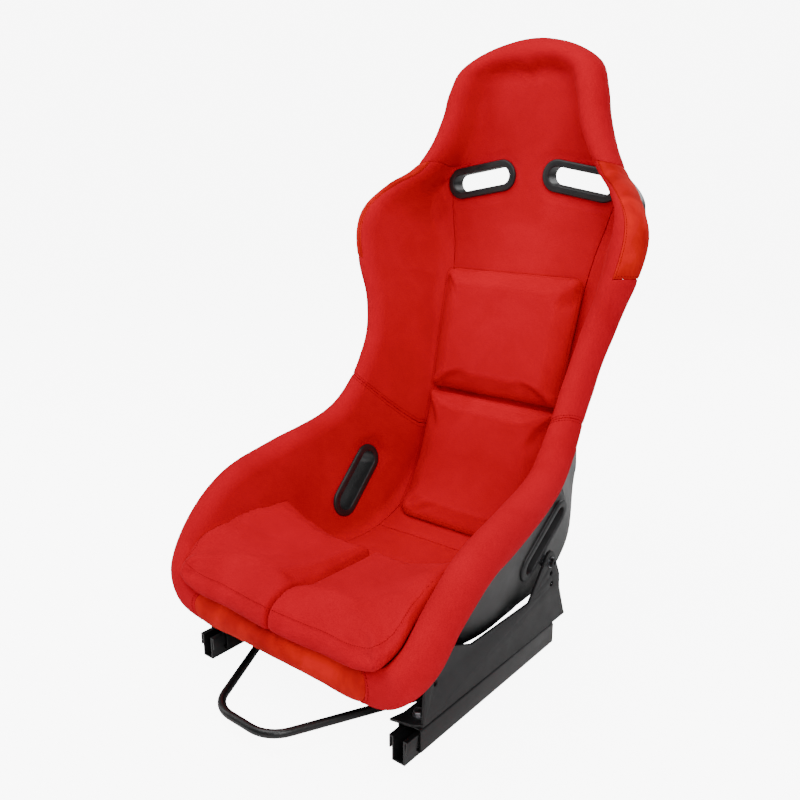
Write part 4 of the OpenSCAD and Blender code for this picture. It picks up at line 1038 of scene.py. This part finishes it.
def make_lobe(word, m):
    ts = np.linspace(0, T_LOBE, 40)
    fs = np.concatenate([np.linspace(0, 0.85, 26), np.linspace(0.85, 1.0, 8)[1:]])
    skins = [lobe_skin(t, fs) for t in ts]
    low, high = (np.array([s[k] for s in skins]) for k in (0, 1))
    for skin in (low, high):
        skin[..., 0] = np.maximum(skin[..., 0], 2.6)
    points, faces = panel_mesh([(high, low, ["t0", "t1", "j0", "j1"])], m)
    lobe = object_from(f"thigh_pad_cloth_{word}", points, faces, PAD_CLOTH, weld=1e-4)
    under = KDTree(low.shape[0] * low.shape[1])
    for i, p in enumerate(low.reshape(-1, 3)):
        under.insert(Vector(p * np.array([m, 1, 1])) * MM, i)
    under.balance()
    plump(lobe, lambda p: np.array([1.0 if under.find(q)[2] < 0.006 else 0.0 for q in p]), 0.006, 3.0)
    place = np.array([v.co for v in lobe.data.vertices])
    place[:, 0] = m * np.maximum(m * place[:, 0], 0.0008)
    lobe.data.vertices.foreach_set("co", place.ravel())
    lobe.data.update()
    front = high[0, :27] * np.array([m, 1, 1]) * MM
    outer = high[:, 26] * np.array([m, 1, 1]) * MM
    inner = high[:30, 2] * np.array([m, 1, 1]) * MM
    press_seams(lobe, [front, outer], 0.0010, 0.0028)
    finish_piece(lobe, "seat", "pad_cloth", f"thigh_pad_{word}")
    return [outer]


# ---------------------------------------------------------------- stitching
def stitch_rule():
    """Geometry Nodes: lays even stitches along seam lines."""
    tree = bpy.data.node_groups.new("stitch_row", "GeometryNodeTree")
    tree.is_modifier = True
    face = tree.interface
    face.new_socket("Seam line", in_out="INPUT", socket_type="NodeSocketGeometry")
    for name in ("Pitch", "Stitch length", "Thread radius"):
        face.new_socket(name, in_out="INPUT", socket_type="NodeSocketFloat")
    face.new_socket("Thread", in_out="INPUT", socket_type="NodeSocketMaterial")
    face.new_socket("Stitches", in_out="OUTPUT", socket_type="NodeSocketGeometry")
    nodes, links = tree.nodes, tree.links
    given, result = nodes.new("NodeGroupInput"), nodes.new("NodeGroupOutput")
    curve = nodes.new("GeometryNodeMeshToCurve")
    even = nodes.new("GeometryNodeResampleCurve")
    even.mode = "LENGTH"
    bead = nodes.new("GeometryNodeMeshIcoSphere")
    bead.inputs["Subdivisions"].default_value = 2
    bead.inputs["Radius"].default_value = 1.0
    tangent = nodes.new("GeometryNodeInputTangent")
    turn = nodes.new("FunctionNodeAlignRotationToVector")
    turn.axis = "X"
    size = nodes.new("ShaderNodeCombineXYZ")
    lay = nodes.new("GeometryNodeInstanceOnPoints")
    real = nodes.new("GeometryNodeRealizeInstances")
    dress = nodes.new("GeometryNodeSetMaterial")
    half = nodes.new("ShaderNodeMath")
    half.operation = "MULTIPLY"
    half.inputs[1].default_value = 0.5
    links.new(given.outputs["Seam line"], curve.inputs["Mesh"])
    links.new(curve.outputs["Curve"], even.inputs["Curve"])
    links.new(given.outputs["Pitch"], even.inputs["Length"])
    links.new(even.outputs["Curve"], lay.inputs["Points"])
    links.new(bead.outputs["Mesh"], lay.inputs["Instance"])
    links.new(tangent.outputs["Tangent"], turn.inputs["Vector"])
    links.new(turn.outputs["Rotation"], lay.inputs["Rotation"])
    links.new(given.outputs["Stitch length"], half.inputs[0])
    links.new(half.outputs["Value"], size.inputs["X"])
    links.new(given.outputs["Thread radius"], size.inputs["Y"])
    links.new(given.outputs["Thread radius"], size.inputs["Z"])
    links.new(size.outputs["Vector"], lay.inputs["Scale"])
    links.new(lay.outputs["Instances"], real.inputs["Geometry"])
    links.new(real.outputs["Geometry"], dress.inputs["Geometry"])
    links.new(given.outputs["Thread"], dress.inputs["Material"])
    links.new(dress.outputs["Geometry"], result.inputs["Stitches"])
    return tree


def sew(name, rule, lines, slot, pitch=0.0042, length=0.0031, radius=0.00042):
    """Stitches along lines of points in metres, as one piece."""
    data = bpy.data.meshes.new(name)
    points = np.vstack(lines)
    edges, at = [], 0
    for line in lines:
        edges += [(at + i, at + i + 1) for i in range(len(line) - 1)]
        at += len(line)
    data.from_pydata(points.tolist(), edges, [])
    piece = bpy.data.objects.new(name, data)
    bpy.context.scene.collection.objects.link(piece)
    modifier = piece.modifiers.new("stitches", "NODES")
    modifier.node_group = rule
    sizes = {"Pitch": pitch, "Stitch length": length, "Thread radius": radius, "Thread": THREAD}
    for item in rule.interface.items_tree:
        if item.name in sizes:
            modifier[item.identifier] = sizes[item.name]
    settle_modifiers(piece)
    piece.data.shade_smooth()
    return finish_piece(piece, "seat", slot)


def cover_line(ts, js, lift=0.25):
    """Points in metres on the finished cover, a little above it, for given stations and section values."""
    plain, normals = [], []
    for t, j in zip(ts, js):
        here, out = Section(t).cover([j, min(j + 0.05, J_HEM)])
        step = -0.02 if t > LAST_ROW - 0.05 else 0.02
        ahead = Section(t + step).cover([j])[0]
        plain.append(here)
        normals.append(unit(np.cross(out - here, (ahead - here) * np.sign(step))))
    plain, normals = np.array(plain), np.array(normals)
    return (plain + normals * (cover_relief(plain) + lift)[:, None]) * MM


def both_sides(lines):
    return [line * np.array([m, 1, 1]) for line in lines for m in (1, -1)]


def make_stitching(pad_seams):
    rule = stitch_rule()
    hem_t = np.linspace(2.1, 24.6, 460)
    hem = [cover_line(hem_t, np.full(len(hem_t), J_HEM - 0.25))]
    sew("hem_topstitching", rule, both_sides(hem), "red_cloth")
    edge_t = np.linspace(T_PATCH, T_HEAD_SIDE, 120)
    patch = [cover_line(edge_t, np.full(len(edge_t), J_PATCH + 0.35)),
             cover_line(np.full(60, T_PATCH + 0.07), np.linspace(J_PATCH + 0.35, J_HEM - 0.2, 60))]
    sew("shoulder_patch_topstitching", rule, both_sides(patch), "red_suede")
    across = np.linspace(J_FLOOR + 0.4, J_HEM - 0.2, 90)
    joins = [cover_line(np.full(90, T_BOLSTER + s), across) for s in (-0.09, 0.09)]
    joins.append(cover_line(np.full(90, T_LIP + 0.09), across))
    sew("bolster_topstitching", rule, both_sides(joins), "red_cloth")
    if pad_seams:
        sew("pad_gusset_stitching", rule, pad_seams, "pad_cloth", pitch=0.0038, length=0.0028)


# ---------------------------------------------------------------- metalwork
def eased_copy(node, name, material, slot, width, body, angle=32.0):
    """A CAD piece with its edges eased, so that they catch the light like real ones."""
    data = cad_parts[node].data.copy()
    bm = bmesh.new()
    bm.from_mesh(data)
    bmesh.ops.remove_doubles(bm, verts=bm.verts, dist=2e-6)
    bmesh.ops.dissolve_limit(bm, angle_limit=math.radians(1.5), verts=bm.verts, edges=bm.edges)
    bm.to_mesh(data)
    bm.free()
    data.materials.clear()
    data.materials.append(material)
    piece = bpy.data.objects.new(name, data)
    bpy.context.scene.collection.objects.link(piece)
    bevel = piece.modifiers.new("eased", "BEVEL")
    bevel.width = width * MM
    bevel.segments = 2
    bevel.limit_method = "ANGLE"
    bevel.angle_limit = math.radians(angle)
    bevel.miter_outer = "MITER_ARC"
    settle_modifiers(piece)
    smooth_by_angle(piece, angle + 8)
    return finish_piece(piece, body, slot, node)


EASED = [
    ("side_bracket_left", "side_bracket_plate_left", BRACKET, "bracket_paint", 0.6, "seat"),
    ("side_bracket_right", "side_bracket_plate_right", BRACKET, "bracket_paint", 0.6, "seat"),
    ("upper_rail_left", "sliding_rail_left", RAIL, "rail_paint", 0.5, "seat"),
    ("upper_rail_right", "sliding_rail_right", RAIL, "rail_paint", 0.5, "seat"),
    ("lower_rail_left", "floor_rail_left", RAIL, "rail_paint", 0.4, "floor_rails"),
    ("lower_rail_right", "floor_rail_right", RAIL, "rail_paint", 0.4, "floor_rails"),
    ("seat_bolts", "seat_side_bolts", BOLT, "black_bolt", 0.4, "seat"),
    ("bracket_bolts", "rail_flange_bolts", ZINC, "zinc_steel", 0.35, "seat"),
    ("bracket_spacers", "seat_side_spacers", ZINC, "zinc_steel", 0.4, "seat"),
    ("latch_lever_left", "latch_plate_left", HANDLE, "handle_paint", 0.4, "release_handle"),
    ("latch_lever_right", "latch_plate_right", HANDLE, "handle_paint", 0.4, "release_handle"),
]
KEPT = {
    "shell_inserts": ZINC, "seat_bolt_washers": ZINC, "bracket_bolt_washers": ZINC, "bracket_nuts": ZINC,
    "rail_stop_rivets": ZINC, "latch_bracket_left": RAIL, "latch_bracket_right": RAIL, "latch_pins": ZINC,
    "pin_clips": SPRING, "return_springs": SPRING, "ball_cage_left": CAGE, "ball_cage_right": CAGE,
    "rail_balls_left": BALL, "rail_balls_right": BALL, "release_handle": HANDLE,
}


def make_metalwork():
    for node, name, material, slot, width, body in EASED:
        eased_copy(node, name, material, slot, width, body)
    for node, material in KEPT.items():
        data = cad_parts[node].data
        data.materials.clear()
        data.materials.append(material)


make_camera()
make_studio()
make_shell()
make_covers()
make_bezels()
pad_seams = []
pad_seams += make_back_pad("back_pad_upper_cloth", "back_pad_upper",
                           T_PAD_SPLIT + 0.03, T_PAD_TOP, 129, 136, (4, 14))
pad_seams += make_back_pad("back_pad_lower_cloth", "back_pad_lower",
                           T_PAD_LOW, T_PAD_SPLIT - 0.03, 129, 129, (30, 4))
for word, m in (("left", 1), ("right", -1)):
    pad_seams += make_lobe(word, m)
make_stitching(pad_seams)
make_metalwork()
